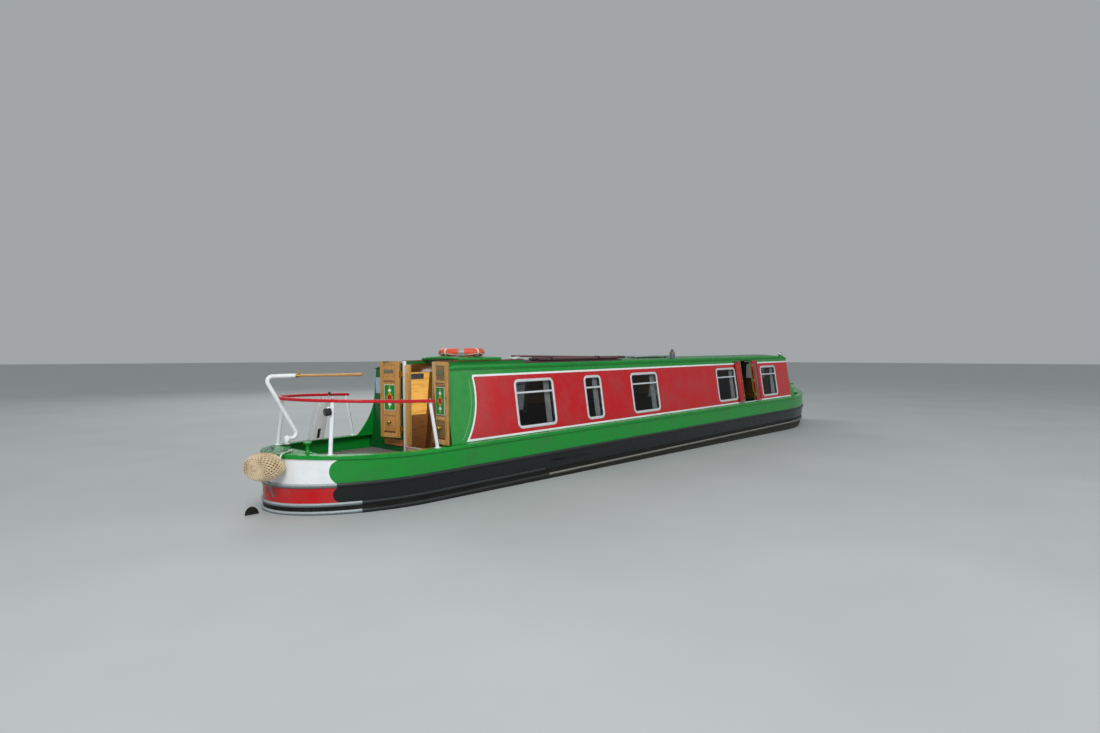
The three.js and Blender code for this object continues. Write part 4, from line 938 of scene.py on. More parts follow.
def make_windows():
    """Aluminium frames with round corners and a hopper bar, two clear panes, screws and a curtain."""
    z0, z1 = WINDOW_Z
    bar, lap = z1 - 0.18, 0.016
    rim = [(0.0, 0.0004), (0.0, 0.0035), (0.003, 0.0055), (0.012, 0.006), (0.034, 0.006),
           (0.039, 0.0045), (0.041, 0.001), (0.041, -0.01), (0.024, -0.01), (0.024, 0.0004)]
    for name, side in SIDES:
        for i, (a, b) in enumerate(WINDOWS, 1):
            loops = [[lay(side, -h, s, z) for s, z in
                      rounded(a - lap + o, b + lap - o, z0 - lap + o, z1 + lap - o, 0.085 - o)]
                     for o, h in rim]
            window = Shape(frame_metal).add(loft(loops, along=True))
            rail = [[lay(side, -h, s, bar + d) for d, h in
                     ((-0.013, -0.008), (-0.013, 0.002), (-0.009, 0.004), (0.009, 0.004), (0.013, 0.002),
                      (0.013, -0.008))] for s in (a + 0.024, b - 0.024)]
            window.add(loft(rail))
            piece(f"window_frame_{name}_{i}", window, stands_for=f"window_{name}_{i}",
                  smooth=50)
            panes = Shape(glass)
            for low, high in ((z0 + lap, bar - 0.004), (bar + 0.004, z1 - lap)):
                panes.add(on_side(side, rounded(a + lap, b - lap, low, high, 0.05), 0.002, 0.006))
            piece(f"window_panes_{name}_{i}", panes)
            loop = rounded(a + 0.003, b - 0.003, z0 + 0.003, z1 - 0.003, 0.06)
            repeat_along(f"window_screws_{name}_{i}", [lay(side, -0.0055, s, z) for s, z in loop], "studs",
                         {"Spacing": 0.115, "Radius": 0.0045, "Finish": aluminium}, closed=True)
            hang_curtain(name, side, i, a, b)


def hang_curtain(name, side, i, a, b):
    """A short pleated curtain drawn to the window's forward end on a thin brass wire."""
    z0, z1 = WINDOW_Z
    width = 0.125 if i != 5 else 0.15
    s0, s1 = b - 0.02 - width, b - 0.02
    ends = [lay(side, 0.045, s, z1 + 0.005) for s in (a - 0.02, b + 0.02)]
    rail = Shape(brass).add(tube(ends, 0.004, 10))
    rail.add(turned([(0, 0), (0.009, 0), (0.009, 0.006), (0, 0.006)], ends[0], (1, 0, 0), 14))
    wire = piece(f"curtain_wire_{name}_{i}", rail)
    pleats, columns = 5, 70
    rows = []
    for t in (r / 18 for r in range(19)):
        z = lerp(z1 + 0.003, z0 - 0.03, t)
        row = []
        for u in (c / columns for c in range(columns + 1)):
            swing = (0.006 + 0.009 * t) * sin(2 * pi * pleats * u + 0.5 * sin(7 * u + 3 * t))
            s = lerp(s0, s1, u) + 0.012 * t * sin(4 * u + i)
            row.append(lay(side, 0.062 + 0.006 * t + swing, s, z))
        rows.append(row)
    cloth = piece(f"curtain_{name}_{i}", Shape(curtain_cloth).add(loft(rows, around=False)), smooth=180)


# What repeats, made by Geometry Nodes


def new_tree(name, sizes):
    """Geometry nodes that start with points at an even spacing along a line: the tree, the sockets
    of its named sizes and its finish, and the points' sockets."""
    tree = bpy.data.node_groups.new(name, "GeometryNodeTree")
    face = tree.interface
    face.new_socket("Geometry", in_out="INPUT", socket_type="NodeSocketGeometry")
    for label in ("Spacing", *sizes):
        face.new_socket(label, in_out="INPUT", socket_type="NodeSocketFloat")
    face.new_socket("Finish", in_out="INPUT", socket_type="NodeSocketMaterial")
    face.new_socket("Geometry", in_out="OUTPUT", socket_type="NodeSocketGeometry")
    given = add(tree, "NodeGroupInput").outputs
    dots = add(tree, "GeometryNodeCurveToPoints", {0: given["Geometry"], "Length": given["Spacing"]},
               mode="LENGTH")
    return tree, given, dots.outputs


def put_on_points(tree, given, dots, shape, inputs=()):
    """Sets a shape on each point and ends the tree."""
    placed = add(tree, "GeometryNodeInstanceOnPoints", {"Points": dots["Points"], "Instance": shape,
                                                        **dict(inputs)})
    real = add(tree, "GeometryNodeRealizeInstances", {0: placed})
    painted = add(tree, "GeometryNodeSetMaterial", {"Geometry": real, "Material": given["Finish"]})
    add(tree, "NodeGroupOutput", {0: painted})
    return tree


def stud_tree():
    """Geometry nodes: a low round head at each point."""
    tree, given, dots = new_tree("studs", ["Radius"])
    head = add(tree, "GeometryNodeMeshIcoSphere", {"Radius": given["Radius"], "Subdivisions": 2})
    return put_on_points(tree, given, dots, head)


def chain_tree():
    """Geometry nodes: oval links, each turned a quarter from the last."""
    tree, given, dots = new_tree("chain", ["Wire", "Width"])
    oval = add(tree, "GeometryNodeCurvePrimitiveCircle", {"Resolution": 18, "Radius": given["Width"]})
    stood = add(tree, "GeometryNodeTransform", {"Geometry": oval, "Rotation": (pi / 2, 0, 0),
                                                "Scale": (1.0, 1.75, 1.0)})
    wire = add(tree, "GeometryNodeCurvePrimitiveCircle", {"Resolution": 8, "Radius": given["Wire"]})
    link = add(tree, "GeometryNodeCurveToMesh", {0: stood, 1: wire})
    index = add(tree, "GeometryNodeInputIndex")
    odd = add(tree, "ShaderNodeMath", {0: index, 1: 2.0}, operation="MODULO")
    angle = add(tree, "ShaderNodeMath", {0: odd, 1: pi / 2}, operation="MULTIPLY")
    quarter = add(tree, "FunctionNodeAxisAngleToRotation", {"Axis": (0, 0, 1), "Angle": angle})
    turn = add(tree, "FunctionNodeRotateRotation", {0: dots["Rotation"], 1: quarter},
               rotation_space="LOCAL")
    return put_on_points(tree, given, dots, link, {"Rotation": turn})


def repeat_along(name, line, kind, sizes, closed=False):
    """A plain piece of the hull made of what a tree repeats along a line of points."""
    curve = bpy.data.curves.new(name, "CURVE")
    curve.dimensions = "3D"
    spline = curve.splines.new("POLY")
    spline.points.add(len(line) - 1)
    for point, p in zip(spline.points, line):
        point.co = (*p, 1)
    spline.use_cyclic_u = closed
    carrier = stand(name + "_line", curve)
    tree = bpy.data.node_groups.get(kind) or {"studs": stud_tree, "chain": chain_tree}[kind]()
    modifier = carrier.modifiers.new("grow", "NODES")
    modifier.node_group = tree
    for item in tree.interface.items_tree:
        if item.item_type == "SOCKET" and item.in_out == "INPUT" and item.name in sizes:
            modifier[item.identifier] = sizes[item.name]
    graph = bpy.context.evaluated_depsgraph_get()
    mesh = bpy.data.meshes.new_from_object(carrier.evaluated_get(graph))
    bpy.data.objects.remove(carrier, do_unlink=True)
    mesh.polygons.foreach_set("use_smooth", [True] * len(mesh.polygons))
    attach(stand(name, mesh), "hull")


# Roof


def make_roof():
    """A cambered steel roof with the hatch's wood-capped runners and a handhold along each edge."""
    edges = [-ROOF_HALF, -0.695, 0.085, ROOF_HALF]
    across = sorted(edges + [k * 0.08 for k in range(-10, 11)
                             if min(abs(k * 0.08 - e) for e in edges) > 0.012])
    stations = [0.035, 0.3, 0.74, *(1.24 + 0.5 * k for k in range(19)), 10.5, 10.89]
    grids = [[[(at(s), y, roof_z(y) - w) for s in stations] for y in across] for w in (0.0, ROOF_T)]
    hatchway = {(i, j) for i in range(len(across) - 1) for j in range(2)
                if -0.696 < across[i] and across[i + 1] < 0.086}
    roof = Shape(roof_enamel).add(*wall(*grids, skip=hatchway))
    for y in (0.095, -0.705):
        for low, high, finish in ((roof_z(y) - 0.006, 2.336, roof_enamel), (2.336, 2.35, mahogany)):
            roof.add(block(at(0.035), at(1.6), y - 0.009, y + 0.009, low, high), finish)
    roof.add(block(at(0.742), at(0.75), -0.69, 0.08, 2.25, 2.344))
    for side in (1, -1):
        rows = []
        for s, k in ((0.09, 0.05), (0.12, 0.42), (0.17, 0.84), (0.23, 1.0), (10.69, 1.0), (10.75, 0.84),
                     (10.79, 0.42), (10.81, 0.05)):
            h = 0.05 * k
            rows.append([(at(s), side * (0.774 + y), 2.236 + z) for y, z in
                         ((-0.014, 0), (-0.014, h * 0.7), (-0.01, h * 0.92), (-0.004, h), (0.004, h),
                          (0.01, h * 0.92), (0.014, h * 0.7), (0.014, 0))])
        roof.add(loft(rows), green_enamel)
    piece("roof_shell", roof, bevel=0.0015, stands_for="roof")


def make_sliding_hatch():
    """A gently arched sheet lid with a round bar along the aft edge to pull it by."""
    y0, y1, s0, s1 = -0.719, 0.109, 0.356, 1.14

    def arch(t):
        return 0.064 * t * (1 - t)

    rows = []
    for t in (k / 16 for k in range(17)):
        z = 2.3503 + arch(t)
        rows.append([(at(s), lerp(y0, y1, t), z + h) for s, h in
                     ((s0 + 0.004, 0.0), (s0, 0.006), (s0, 0.022), (s0 + 0.003, 0.028), (s0 + 0.01, 0.03),
                      (s1 - 0.01, 0.03), (s1 - 0.003, 0.028), (s1, 0.022), (s1, 0.006), (s1 - 0.004, 0.0))])
    lid = Shape(green_enamel).add(loft(rows))
    lid.add(tube([(at(s0 + 0.022), lerp(y0, y1, t), 2.3806 + arch(t))
                  for t in (0.08 + 0.84 * k / 12 for k in range(13))], 0.008, 12))
    piece("sliding_hatch_lid", lid, body="sliding_hatch", bevel=0.002, stands_for="slide_hatch",
          smooth=50)


def make_lifebuoy():
    """A ring buoy: four grey bands, and a white grab line seized on between them."""
    centre, ring, thick, flat = Vector((at(0.75), -0.305, 2.4568)), 0.265, 0.062, 0.88
    n, m = 128, 24
    quarter, first_band = pi / 2, radians(230)

    def round_ring(a, r, b, tall):
        out = ring + r * cos(b)
        return centre + Vector((out * cos(a), out * sin(a), tall * sin(b) * (1 - 0.06 * cos(2 * b))))

    rows, banded = [], []
    for a in round_steps(n):
        off = (a - first_band) % quarter
        band = min(off, quarter - off) < radians(8.5)
        banded.append(band)
        r = thick if band else thick - 0.0018
        rows.append([round_ring(a, r, b, flat * r) for b in round_steps(m)])
    buoy = Shape(lifebuoy_skin).add(loft(rows, along=True), [
        lifebuoy_band if banded[i] and banded[(i + 1) % n] else lifebuoy_skin
        for i in range(n) for _ in range(m)])
    piece("lifebuoy_ring", buoy, body="sliding_hatch", stands_for="lifebuoy",
          smooth=40)
    line = Shape(white_rope)
    for k in range(4):
        tie = first_band + radians(45 + 90 * k)
        loop = []
        for t in (i / 16 for i in range(17)):
            slack = sin(pi * t)
            out = ring + thick + 0.004 + 0.008 * slack
            a = tie + quarter * t
            loop.append(centre + Vector((out * cos(a), out * sin(a), -0.004 - 0.034 * slack ** 0.7)))
        line.add(tube(loop, 0.0042, 10))
        for turn in (-0.03, -0.01, 0.01, 0.03):
            line.add(tube([round_ring(tie + turn, thick + 0.002, b, thick * flat + 0.0005)
                           for b in (2 * pi * q / 24 for q in range(25))], 0.0036, 8))
    piece("lifebuoy_grab_line", line, body="sliding_hatch")


# Doors


def frame_row(u0, u1, z0, z1, inset, x):
    """The corners of a rectangle drawn in by an inset, standing at x."""
    return [(x, u0 + inset, z0 + inset), (x, u1 - inset, z0 + inset), (x, u1 - inset, z1 - inset),
            (x, u0 + inset, z1 - inset)]


def make_leaf(face, panel_wood, rail_wood):
    """A door leaf of stiles, rails, mouldings and fielded panels; its outer face looks aft."""
    leaf = Shape(varnished_oak).add(block(face + 0.008, -0.004, 0.004, 0.364, 1.282, 2.34), panel_wood)
    for u0, u1, z0, z1 in ((0.004, 0.08, 1.282, 2.34), (0.3, 0.364, 1.282, 2.34),
                           (0.08, 0.3, 2.292, 2.34), (0.08, 0.3, 2.052, 2.088),
                           (0.08, 0.3, 1.592, 1.626), (0.08, 0.3, 1.282, 1.345)):
        leaf.add(block(face, -0.006, u0, u1, z0, z1), rail_wood if u0 < 0.1 else varnished_oak)
    ground, wide, deep = face + 0.008, 0.012, 0.005
    for z0, z1 in ((2.088, 2.292), (1.626, 2.052), (1.345, 1.592)):
        leaf.add(loft([frame_row(0.08, 0.3, z0, z1, inset, ground - out) for inset, out in
                       ((0, 0), (0.0, deep), (wide * 0.4, deep * 1.2), (wide * 0.8, deep * 0.6),
                        (wide, 0))], along=True))
    for z0, z1 in ((2.118, 2.264), (1.4, 1.565)):
        leaf.add(loft([frame_row(0.105, 0.275, z0, z1, inset, ground - out)
                       for inset, out in ((0, 0), (0.012, 0.005), (0.016, 0.0055))]), panel_wood)
    leaf.add(block(face - 0.001, face + 0.004, 0.08, 0.3, 1.347, 1.372), mahogany)
    leaf.add(block(face - 0.003, face + 0.004, 0.085, 0.295, 2.058, 2.074), mahogany)
    leaf.add(block(face - 0.003, face + 0.004, 0.085, 0.295, 1.6, 1.614), pale_jamb)
    return leaf


def make_painted_panel(face):
    """A white-edged green board with the traditional stacked diamonds."""
    x, middle_u, middle_z = face + 0.003, 0.187, 1.8375
    paint = Shape(green_enamel)
    paint.add(tile(rounded(0.085, 0.288, 1.659, 2.015, 0.004, 1), x, face + 0.009), white_enamel)
    paint.add(tile(rounded(0.091, 0.282, 1.665, 2.009, 0.003, 1), x - 0.0006, x + 0.001))
    for z, tall, wide, tone in ((middle_z, 0.085, 0.062, yellow_enamel),
                                (middle_z, 0.062, 0.044, orange_enamel),
                                (1.935, 0.032, 0.034, white_enamel), (1.975, 0.02, 0.014, yellow_enamel)):
        for up in (1, -1):
            h = middle_z + up * (z - middle_z)
            paint.add(tile([(middle_u - wide, h), (middle_u, h - tall), (middle_u + wide, h),
                            (middle_u, h + tall)], x - 0.0012, x), tone)
    paint.add(tile([(middle_u - 0.04, 1.8675), (middle_u - 0.04, 1.8075), (middle_u + 0.04, 1.8075),
                    (middle_u + 0.04, 1.8675)], x - 0.0018, x), red_enamel)
    return paint


def make_door_fittings(face):
    """A knob, a blank plate, a hook and the leaf's halves of three hinges."""
    fittings = Shape(brass)
    fittings.add(tile(rounded(0.118, 0.288, 2.175, 2.225, 0.006, 3), face - 0.0025, face + 0.008),
                 blank_label)
    fittings.add(turned([(0, 0.006), (0.03, 0.006), (0.03, 0.001), (0.027, -0.001), (0.012, -0.003),
                         (0.01, -0.015), (0.02, -0.02), (0.029, -0.028), (0.031, -0.036),
                         (0.027, -0.044), (0.016, -0.049), (0, -0.05)],
                        (face + 0.004, 0.19, 1.494), (1, 0, 0)))
    fittings.add(block(face - 0.006, face + 0.002, 0.33, 0.352, 1.86, 1.9))
    fittings.add(tube([(face - 0.008, 0.341, 1.885), (face - 0.022, 0.341, 1.88),
                       (face - 0.026, 0.325, 1.876)], 0.004, 10))
    for z in DOOR_HINGE_Z:
        fittings.add(tube([(0, 0, z - 0.035), (0, 0, z + 0.035)], 0.0035, 12))
        fittings.add(block(-0.034, -0.0035, 0.0025, 0.0045, z - 0.035, z + 0.035))
    return fittings


def make_rear_doors():
    """Two varnished oak leaves hung on brass, each with a painted panel and a knob."""
    face = -0.034
    # the starboard leaf's panels take a darker oak as painted shade
    woods = {"port": (varnished_oak, varnished_oak), "starboard": (shaded_oak_panel, pale_jamb)}
    for name, side, hinge, angle in REAR_DOORS:
        place = Matrix.Translation((at(-0.026), hinge, 0)) @ Matrix.Rotation(radians(angle), 4, "Z")
        place = place @ Matrix.Diagonal((1, side, 1, 1))
        parts = make_leaf(face, *woods[name]), make_painted_panel(face), make_door_fittings(face)
        for part in parts:
            part.points = [place @ p for p in part.points]
        leaf, paint, fittings = parts
        body = f"door_{name}"
        piece(f"rear_door_{name}_leaf", leaf, body=body, bevel=0.0012, stands_for=f"rear_door_{name}")
        piece(f"rear_door_{name}_painted_panel", paint, body=body)
        piece(f"rear_door_{name}_fittings", fittings, body=body, smooth=50)


def make_door_frame():
    """White and pine posts beside the rear doorway, its sill, kick board, hinges and notice plate."""
    y0, y1 = DOORWAY
    posts = Shape(white_enamel)
    for s0, s1, a, b, low, high, finish in ((0.014, 0.0497, y1, 0.083, 1.066, 2.34, white_enamel),
                                            (0.014, 0.12, 0.031, 0.0448, 1.16, 2.29, pale_jamb),
                                            (0.014, 0.0497, -0.693, y0, 1.066, 2.34, pale_jamb),
                                            (0.014, 0.0497, y0, y1, 1.1, 1.158, sill_wood),
                                            (0.0035, 0.055, y0, y1, 1.148, 1.1595, sill_wood)):
        posts.add(block(at(s0), at(s1), a, b, low, high), finish)
    piece("rear_door_posts", posts, bevel=0.002, stands_for="door_frame")
    hinges = Shape(brass)
    for _, _, y, _ in REAR_DOORS:
        for z in DOOR_HINGE_Z:
            hinges.add(block(at(-0.026), at(0.016), y - 0.002, y + 0.002, z - 0.03, z + 0.03))
            for dz in (-0.045, 0.045):
                hinges.add(turned([(0, 0), (0.006, 0.001), (0.006, 0.008), (0, 0.009)],
                                  (at(-0.026), y, z + dz - 0.0045), sides=14))
    piece("rear_door_hinges", hinges)
    coaming = block(at(0.06), at(0.735), 0.0856, 0.1035, 2.18, roof_z(0.1) - 0.0125)
    piece("hatch_coaming", Shape(brown_wood_and_shade).add(coaming), bevel=0.002)
    board = block(at(0.024), at(0.0497), 0.145, 0.565, 1.15, 1.235)
    piece("kick_board", Shape(kick_oak).add(board), bevel=0.002)
    plate = Shape(blank_plate).add(tile(rounded(0.6, 0.805, 1.87, 2.1, 0.008, 3), at(0.046), at(0.0505)))
    for y in (0.613, 0.792):
        for z in (1.883, 2.087):
            plate.add(turned([(0, 0), (0.004, 0.0004), (0.0036, 0.0018), (0, 0.0022)],
                             (at(0.046), y, z), (-1, 0, 0), 12), chrome)
    piece("notice_plate", plate)


def make_front_doors():
    """Two leaves with a clear pane above and a board below, a knob and two hinge plates each."""
    x0, x1 = at(CABIN_FRONT) - 0.026, at(CABIN_FRONT) - 0.002
    for name, side in SIDES:
        leaf = Shape(varnished_oak).add(block(x0 + 0.004, x1 - 0.006, 0.066, 0.253, 1.27, 1.66))
        for u0, u1, z0, z1 in ((0.006, 0.066, 1.186, 2.124), (0.253, 0.313, 1.186, 2.124),
                               (0.066, 0.253, 2.06, 2.124), (0.066, 0.253, 1.66, 1.71),
                               (0.066, 0.253, 1.186, 1.27)):
            leaf.add(block(x0, x1, u0, u1, z0, z1))
        leaf.add(block(x1 - 0.013, x1 - 0.009, 0.064, 0.255, 1.708, 2.062), glass)
        leaf.add(turned([(0, 0.006), (0.014, 0.006), (0.014, 0.0), (0.008, -0.002), (0.007, -0.01),
                         (0.013, -0.015), (0.014, -0.02), (0.01, -0.023), (0, -0.024)],
                        (x1, 0.04, 1.62), (-1, 0, 0), 24), brass)
        for z in (1.32, 1.96):
            leaf.add(block(x1 - 0.001, x1 + 0.001, 0.26, 0.305, z, z + 0.07), brass)
        leaf.points = [Vector((p.x, side * p.y, p.z)) for p in leaf.points]
        piece(f"front_door_{name}_leaf", leaf, body=f"bow_door_{name}", bevel=0.001,
              stands_for=f"front_door_{name}")


def make_side_hatch_leaves():
    """Leaves folded back flat on the cabin side: the aft one red, the forward one brown wood."""
    z0, z1 = 1.294, 2.197
    for name, side in SIDES:
        for end, hinge, way, panel, edge in (("aft", HATCH[0], -1, red_enamel, mahogany),
                                             ("fore", HATCH[1], 1, mahogany, red_enamel)):
            a, b = hinge + way * 0.006, hinge + way * 0.268
            boards = [(0, 1, z0, z1, 0.011, 0.023, panel),
                      (0, 0.13, z0, z1, 0.012, 0.029, edge), (0.87, 1, z0, z1, 0.012, 0.029, edge),
                      (0.13, 0.87, z0, z0 + 0.05, 0.012, 0.029, edge),
                      (0.13, 0.87, z1 - 0.05, z1, 0.012, 0.029, edge),
                      (0.2, 0.8, z0 + 0.08, z1 - 0.08, 0.02, 0.0255, panel)]
            boards += [(0.02, 0.2, z + 0.012, z + 0.048, 0.0285, 0.0298, brass) for z in STRAP_Z]
            leaf = Shape(panel)
            for u0, u1, low, high, w0, w1, finish in boards:
                corners = [(lerp(a, b, u), z) for u, z in ((u0, low), (u1, low), (u1, high), (u0, high))]
                leaf.add(on_side(side, corners, -w0, -w1), finish)
            piece(f"side_hatch_{name}_{end}_leaf", leaf, body=f"leaf_{name}_{end}", bevel=0.001,
                  stands_for=f"hatch_leaf_{name}_{end}")


# Stern gear


def make_rudder():
    """A plate blade with stiffening bars, on a stock that is oiled bare above the deck."""
    stock = at(RUDDER_STOCK)
    blade = [(0.215, 0.09), (0.215, 0.48), (-0.295, 0.48), (-0.335, 0.56), (-0.348, 0.62), (-0.357, 0.655),
             (-0.375, 0.686), (-0.4, 0.708), (-0.43, 0.718), (-0.46, 0.714), (-0.485, 0.698),
             (-0.502, 0.672), (-0.511, 0.64), (-0.512, 0.6), (-0.512, 0.09)]
    rudder = Shape(blacking).add(loft([[(stock + x, y, z) for x, z in blade] for y in (-0.006, 0.006)]))
    for z in (0.14, 0.3, 0.44):
        for y in (-0.011, 0.006):
            rudder.add(block(stock - 0.42, stock + 0.16, y, y + 0.005, z - 0.02, z + 0.02))
    rudder.add(turned([(0, 0.0305), (0.02, 0.0305), (0.02, 0.9), (0.02, 0.901)], (stock, 0, 0)))
    rudder.add(turned([(0.0199, 0.9), (0.02, 1.2), (0.02, 1.436), (0.017, 1.44), (0, 1.44)],
                      (stock, 0, 0)), bare_steel)
    piece("rudder_and_stock", rudder, body="steering_gear", bevel=0.0015, stands_for="rudder")


def make_tiller():
    """The white swan-neck arm clamped on the stock, and its turned bar with a brass pin and ferrule."""
    stock, z = at(RUDDER_STOCK), TILLER_Z
    bends = [(stock - 0.03, 0, 1.452), (stock + 0.15, 0, 1.452), (stock - 0.262, 0, 2.197),
             (stock + 0.138, 0, z)]
    arm = Shape(white_enamel).add(tube(filleted(bends, 0.055, 10), 0.024, 28))
    arm.add(turned([(0, 1.386), (0.03, 1.386), (0.034, 1.392), (0.034, 1.47), (0.03, 1.478),
                    (0.014, 1.48), (0.014, 1.488), (0, 1.49)], (stock, 0, 0)))
    arm.add(turned([(0, -0.046), (0.008, -0.046), (0.008, 0.046), (0, 0.046)], (stock, 0, 1.42),
                   (0, 1, 0), 12), brass)
    arm.add(turned([(0.024, 0), (0.0262, 0.001), (0.0262, 0.03), (0.024, 0.031)],
                   (stock + 0.106, 0, z), (1, 0, 0)), brass)
    piece("tiller_swan_neck", arm, body="steering_gear", stands_for="tiller_arm",
          smooth=50)
    start, end = Vector((stock + 0.137, 0, z)), Vector((stock + 1.02, 0, 2.18))
    swell = [(0, 0.0175), (0.02, 0.0185), (0.06, 0.0165), (0.5, 0.0165), (0.8, 0.0185), (0.93, 0.021),
             (0.975, 0.0205), (0.992, 0.016), (1, 0.009)]
    bar = Shape(tiller_wood).add(tube([start.lerp(end, t) for t, _ in swell], [r for _, r in swell], 24))
    pin = [(0, 2.19), (0.007, 2.19), (0.007, 2.222), (0.0095, 2.225), (0.0095, 2.229), (0.006, 2.232),
           (0.0045, 2.24), (0.0075, 2.246), (0.0075, 2.25), (0.0045, 2.254), (0.0065, 2.262),
           (0.0085, 2.268), (0.007, 2.2745), (0, 2.2755)]
    bar.add(turned(pin, (stock + 0.16, 0, 0), sides=24), brass)
    bar.add(turned([(0.0172, 0), (0.0195, 0.001), (0.0195, 0.03), (0.0172, 0.031)], start, (1, 0, -0.02)),
            brass)
    piece("tiller_bar_turned", bar, body="steering_gear", stands_for="tiller_bar",
          smooth=50)


def make_taffrail():
    """A flat red rail bent round the stern, falling towards its ends."""
    middle, reach, wide, end = -0.407, 1.3, 1.0, -0.28
    half = [(middle - reach * cos(pi / 2 * i / 40), wide * sin(pi / 2 * i / 40)) for i in range(41)]
    half += [(lerp(middle, end, k / 4), wide) for k in range(1, 5)]
    line = [(s, -y) for s, y in reversed(half)] + half[1:]
    section = rounded(-0.03, 0.03, -0.019, 0.019, 0.012, 4)
    rows = []
    for i, (s, y) in enumerate(line):
        (s0, y0), (s1, y1) = line[max(0, i - 1)], line[min(len(line) - 1, i + 1)]
        ahead = Vector((s1 - s0, y1 - y0, 0)).normalized()
        z = lerp(1.927, 1.86, (s - middle + reach) / (end - middle + reach))
        shrink = 0.72 if i in (0, len(line) - 1) else 1.0
        rows.append([Vector((at(s), y, z + h * shrink)) + Vector((-ahead.y, ahead.x, 0)) * w * shrink
                     for w, h in section])
    piece("taffrail_bar", Shape(rail_enamel).add(loft(rows)), smooth=50,
          stands_for=("taffrail_stern", "taffrail_port", "taffrail_starboard"))


def make_taffrail_posts():
    """Four white posts on bolted feet with chromed nuts on top, and the stern lamp on its bracket."""
    posts = Shape(post_enamel)
    foot = gunwale_z(-1.5)
    for side in (1, -1):
        for low, high, r, nut_z in (((-0.228, 0.99, GUNWALE_Z), (-0.336, 0.99, 1.848), 0.022, 1.868),
                                    ((-1.5, 0.655, foot), (-1.437, 0.612, 1.9), 0.024, 1.93)):
            a, b = (Vector((at(s), side * y, z)) for s, y, z in (low, high))
            posts.add(tube([a, b], r, 24))
            posts.add(turned([(0, 0.0006), (0.042, 0.0006), (0.042, 0.006), (0.038, 0.0075),
                              (r + 0.004, 0.008), (r, 0.016), (0, 0.016)], a))
            for k in (0, 1, 2):
                t = 2 * pi * k / 3 + 0.5
                bolt = a + Vector((0.033 * cos(t), 0.033 * sin(t), 0.006))
                posts.add(turned([(0, 0), (0.006, 0), (0.006, 0.004), (0, 0.005)], bolt, sides=6), chrome)
            top = (b.x, b.y, max(b.z, nut_z))
            posts.add(turned([(0, -0.01), (0.009, -0.01), (0.011, 0.016), (0.009, 0.024), (0, 0.026)],
                             top, sides=16), chrome)
    bracket = [(at(-1.443), -0.617, 1.836), (at(-1.512), -0.64, 1.84), (at(-1.516), -0.64, 1.815)]
    posts.add(tube(filleted(bracket, 0.016), 0.014))
    piece("taffrail_posts", posts, smooth=50)
    where, facing = (at(-1.551), -0.64, 1.79), (1, 0, 0.08)
    lamp = Shape(black_rubber).add(turned(
        [(0, 0), (0.038, 0.0), (0.043, 0.006), (0.045, 0.02), (0.045, 0.056), (0.04, 0.066),
         (0.02, 0.07), (0, 0.071)], where, facing))
    lamp.add(turned([(0, -0.004), (0.02, -0.003), (0.034, 0.001), (0, 0.002)], where, facing), dark_lens)
    piece("stern_lamp", lamp, smooth=50)


def make_control_column():
    """The engine control's sheet column, with its lever, dial panel and cable slot."""
    x = at(COLUMN)

    def section(dx, dy, z, half_x=0.09, half_y=0.06):
        return [(x + dx + u, 0.9 + dy + v, z) for u, v in
                rounded(-half_x, half_x, -half_y, half_y, 0.012, 3)]

    column = Shape(casing).add(loft([
        section(0, 0, gunwale_z(-1.0) - 0.00035), section(0.03, -0.007, 1.433), section(0.06, -0.014, 1.6),
        section(0.095, -0.022, 1.72), section(0.13, -0.03, 1.832),
        section(0.131, -0.03, 1.838, 0.087, 0.057), section(0.131, -0.03, 1.84, 0.08, 0.05)]))
    for z, dx, dy in ((1.285, 0.003, -0.001), (1.43, 0.03, -0.007)):
        column.add(block(x + dx - 0.075, x + dx + 0.075, 0.9 + dy - 0.0635, 0.9 + dy - 0.05, z, z + 0.012))
    column.add(loft([[(x + dx + u, 0.9 + dy - 0.0615 + h, z) for u, h in
                      ((-0.02, 0.006), (-0.02, 0), (0.02, 0), (0.02, 0.006))]
                     for dx, dy, z in ((0.005, -0.0015, 1.3), (0.029, -0.0068, 1.425))]), black_rubber)
    column.add(block(x + 0.07, x + 0.19, 0.83, 0.91, 1.8395, 1.842), black_rubber)
    for dx, y in ((0.1, 0.85), (0.155, 0.865)):
        column.add(turned([(0, 0), (0.018, 0), (0.018, 0.003), (0.014, 0.0045), (0, 0.0045)],
                          (x + dx, y, 1.8415), sides=24), chrome)
    hub = (at(-0.73), 0.862, 1.78)
    column.add(turned([(0, 0), (0.03, 0), (0.03, 0.012), (0.022, 0.016), (0.02, 0.05), (0.016, 0.058),
                       (0, 0.06)], hub, (0, -1, 0), 28))
    lever = [(at(-0.73), 0.812, 1.78), (at(-0.715), 0.812, 1.82), (at(-0.69), 0.812, 1.893)]
    column.add(tube(lever, 0.0065, 12), chrome)
    column.add(turned([(0, 1.883), (0.011, 1.884), (0.0165, 1.895), (0.0175, 1.908), (0.014, 1.92),
                       (0, 1.925)], (at(-0.687), 0.812, 0), sides=24), black_rubber)
    piece("engine_control_column", column, smooth=40, stands_for="control_column")


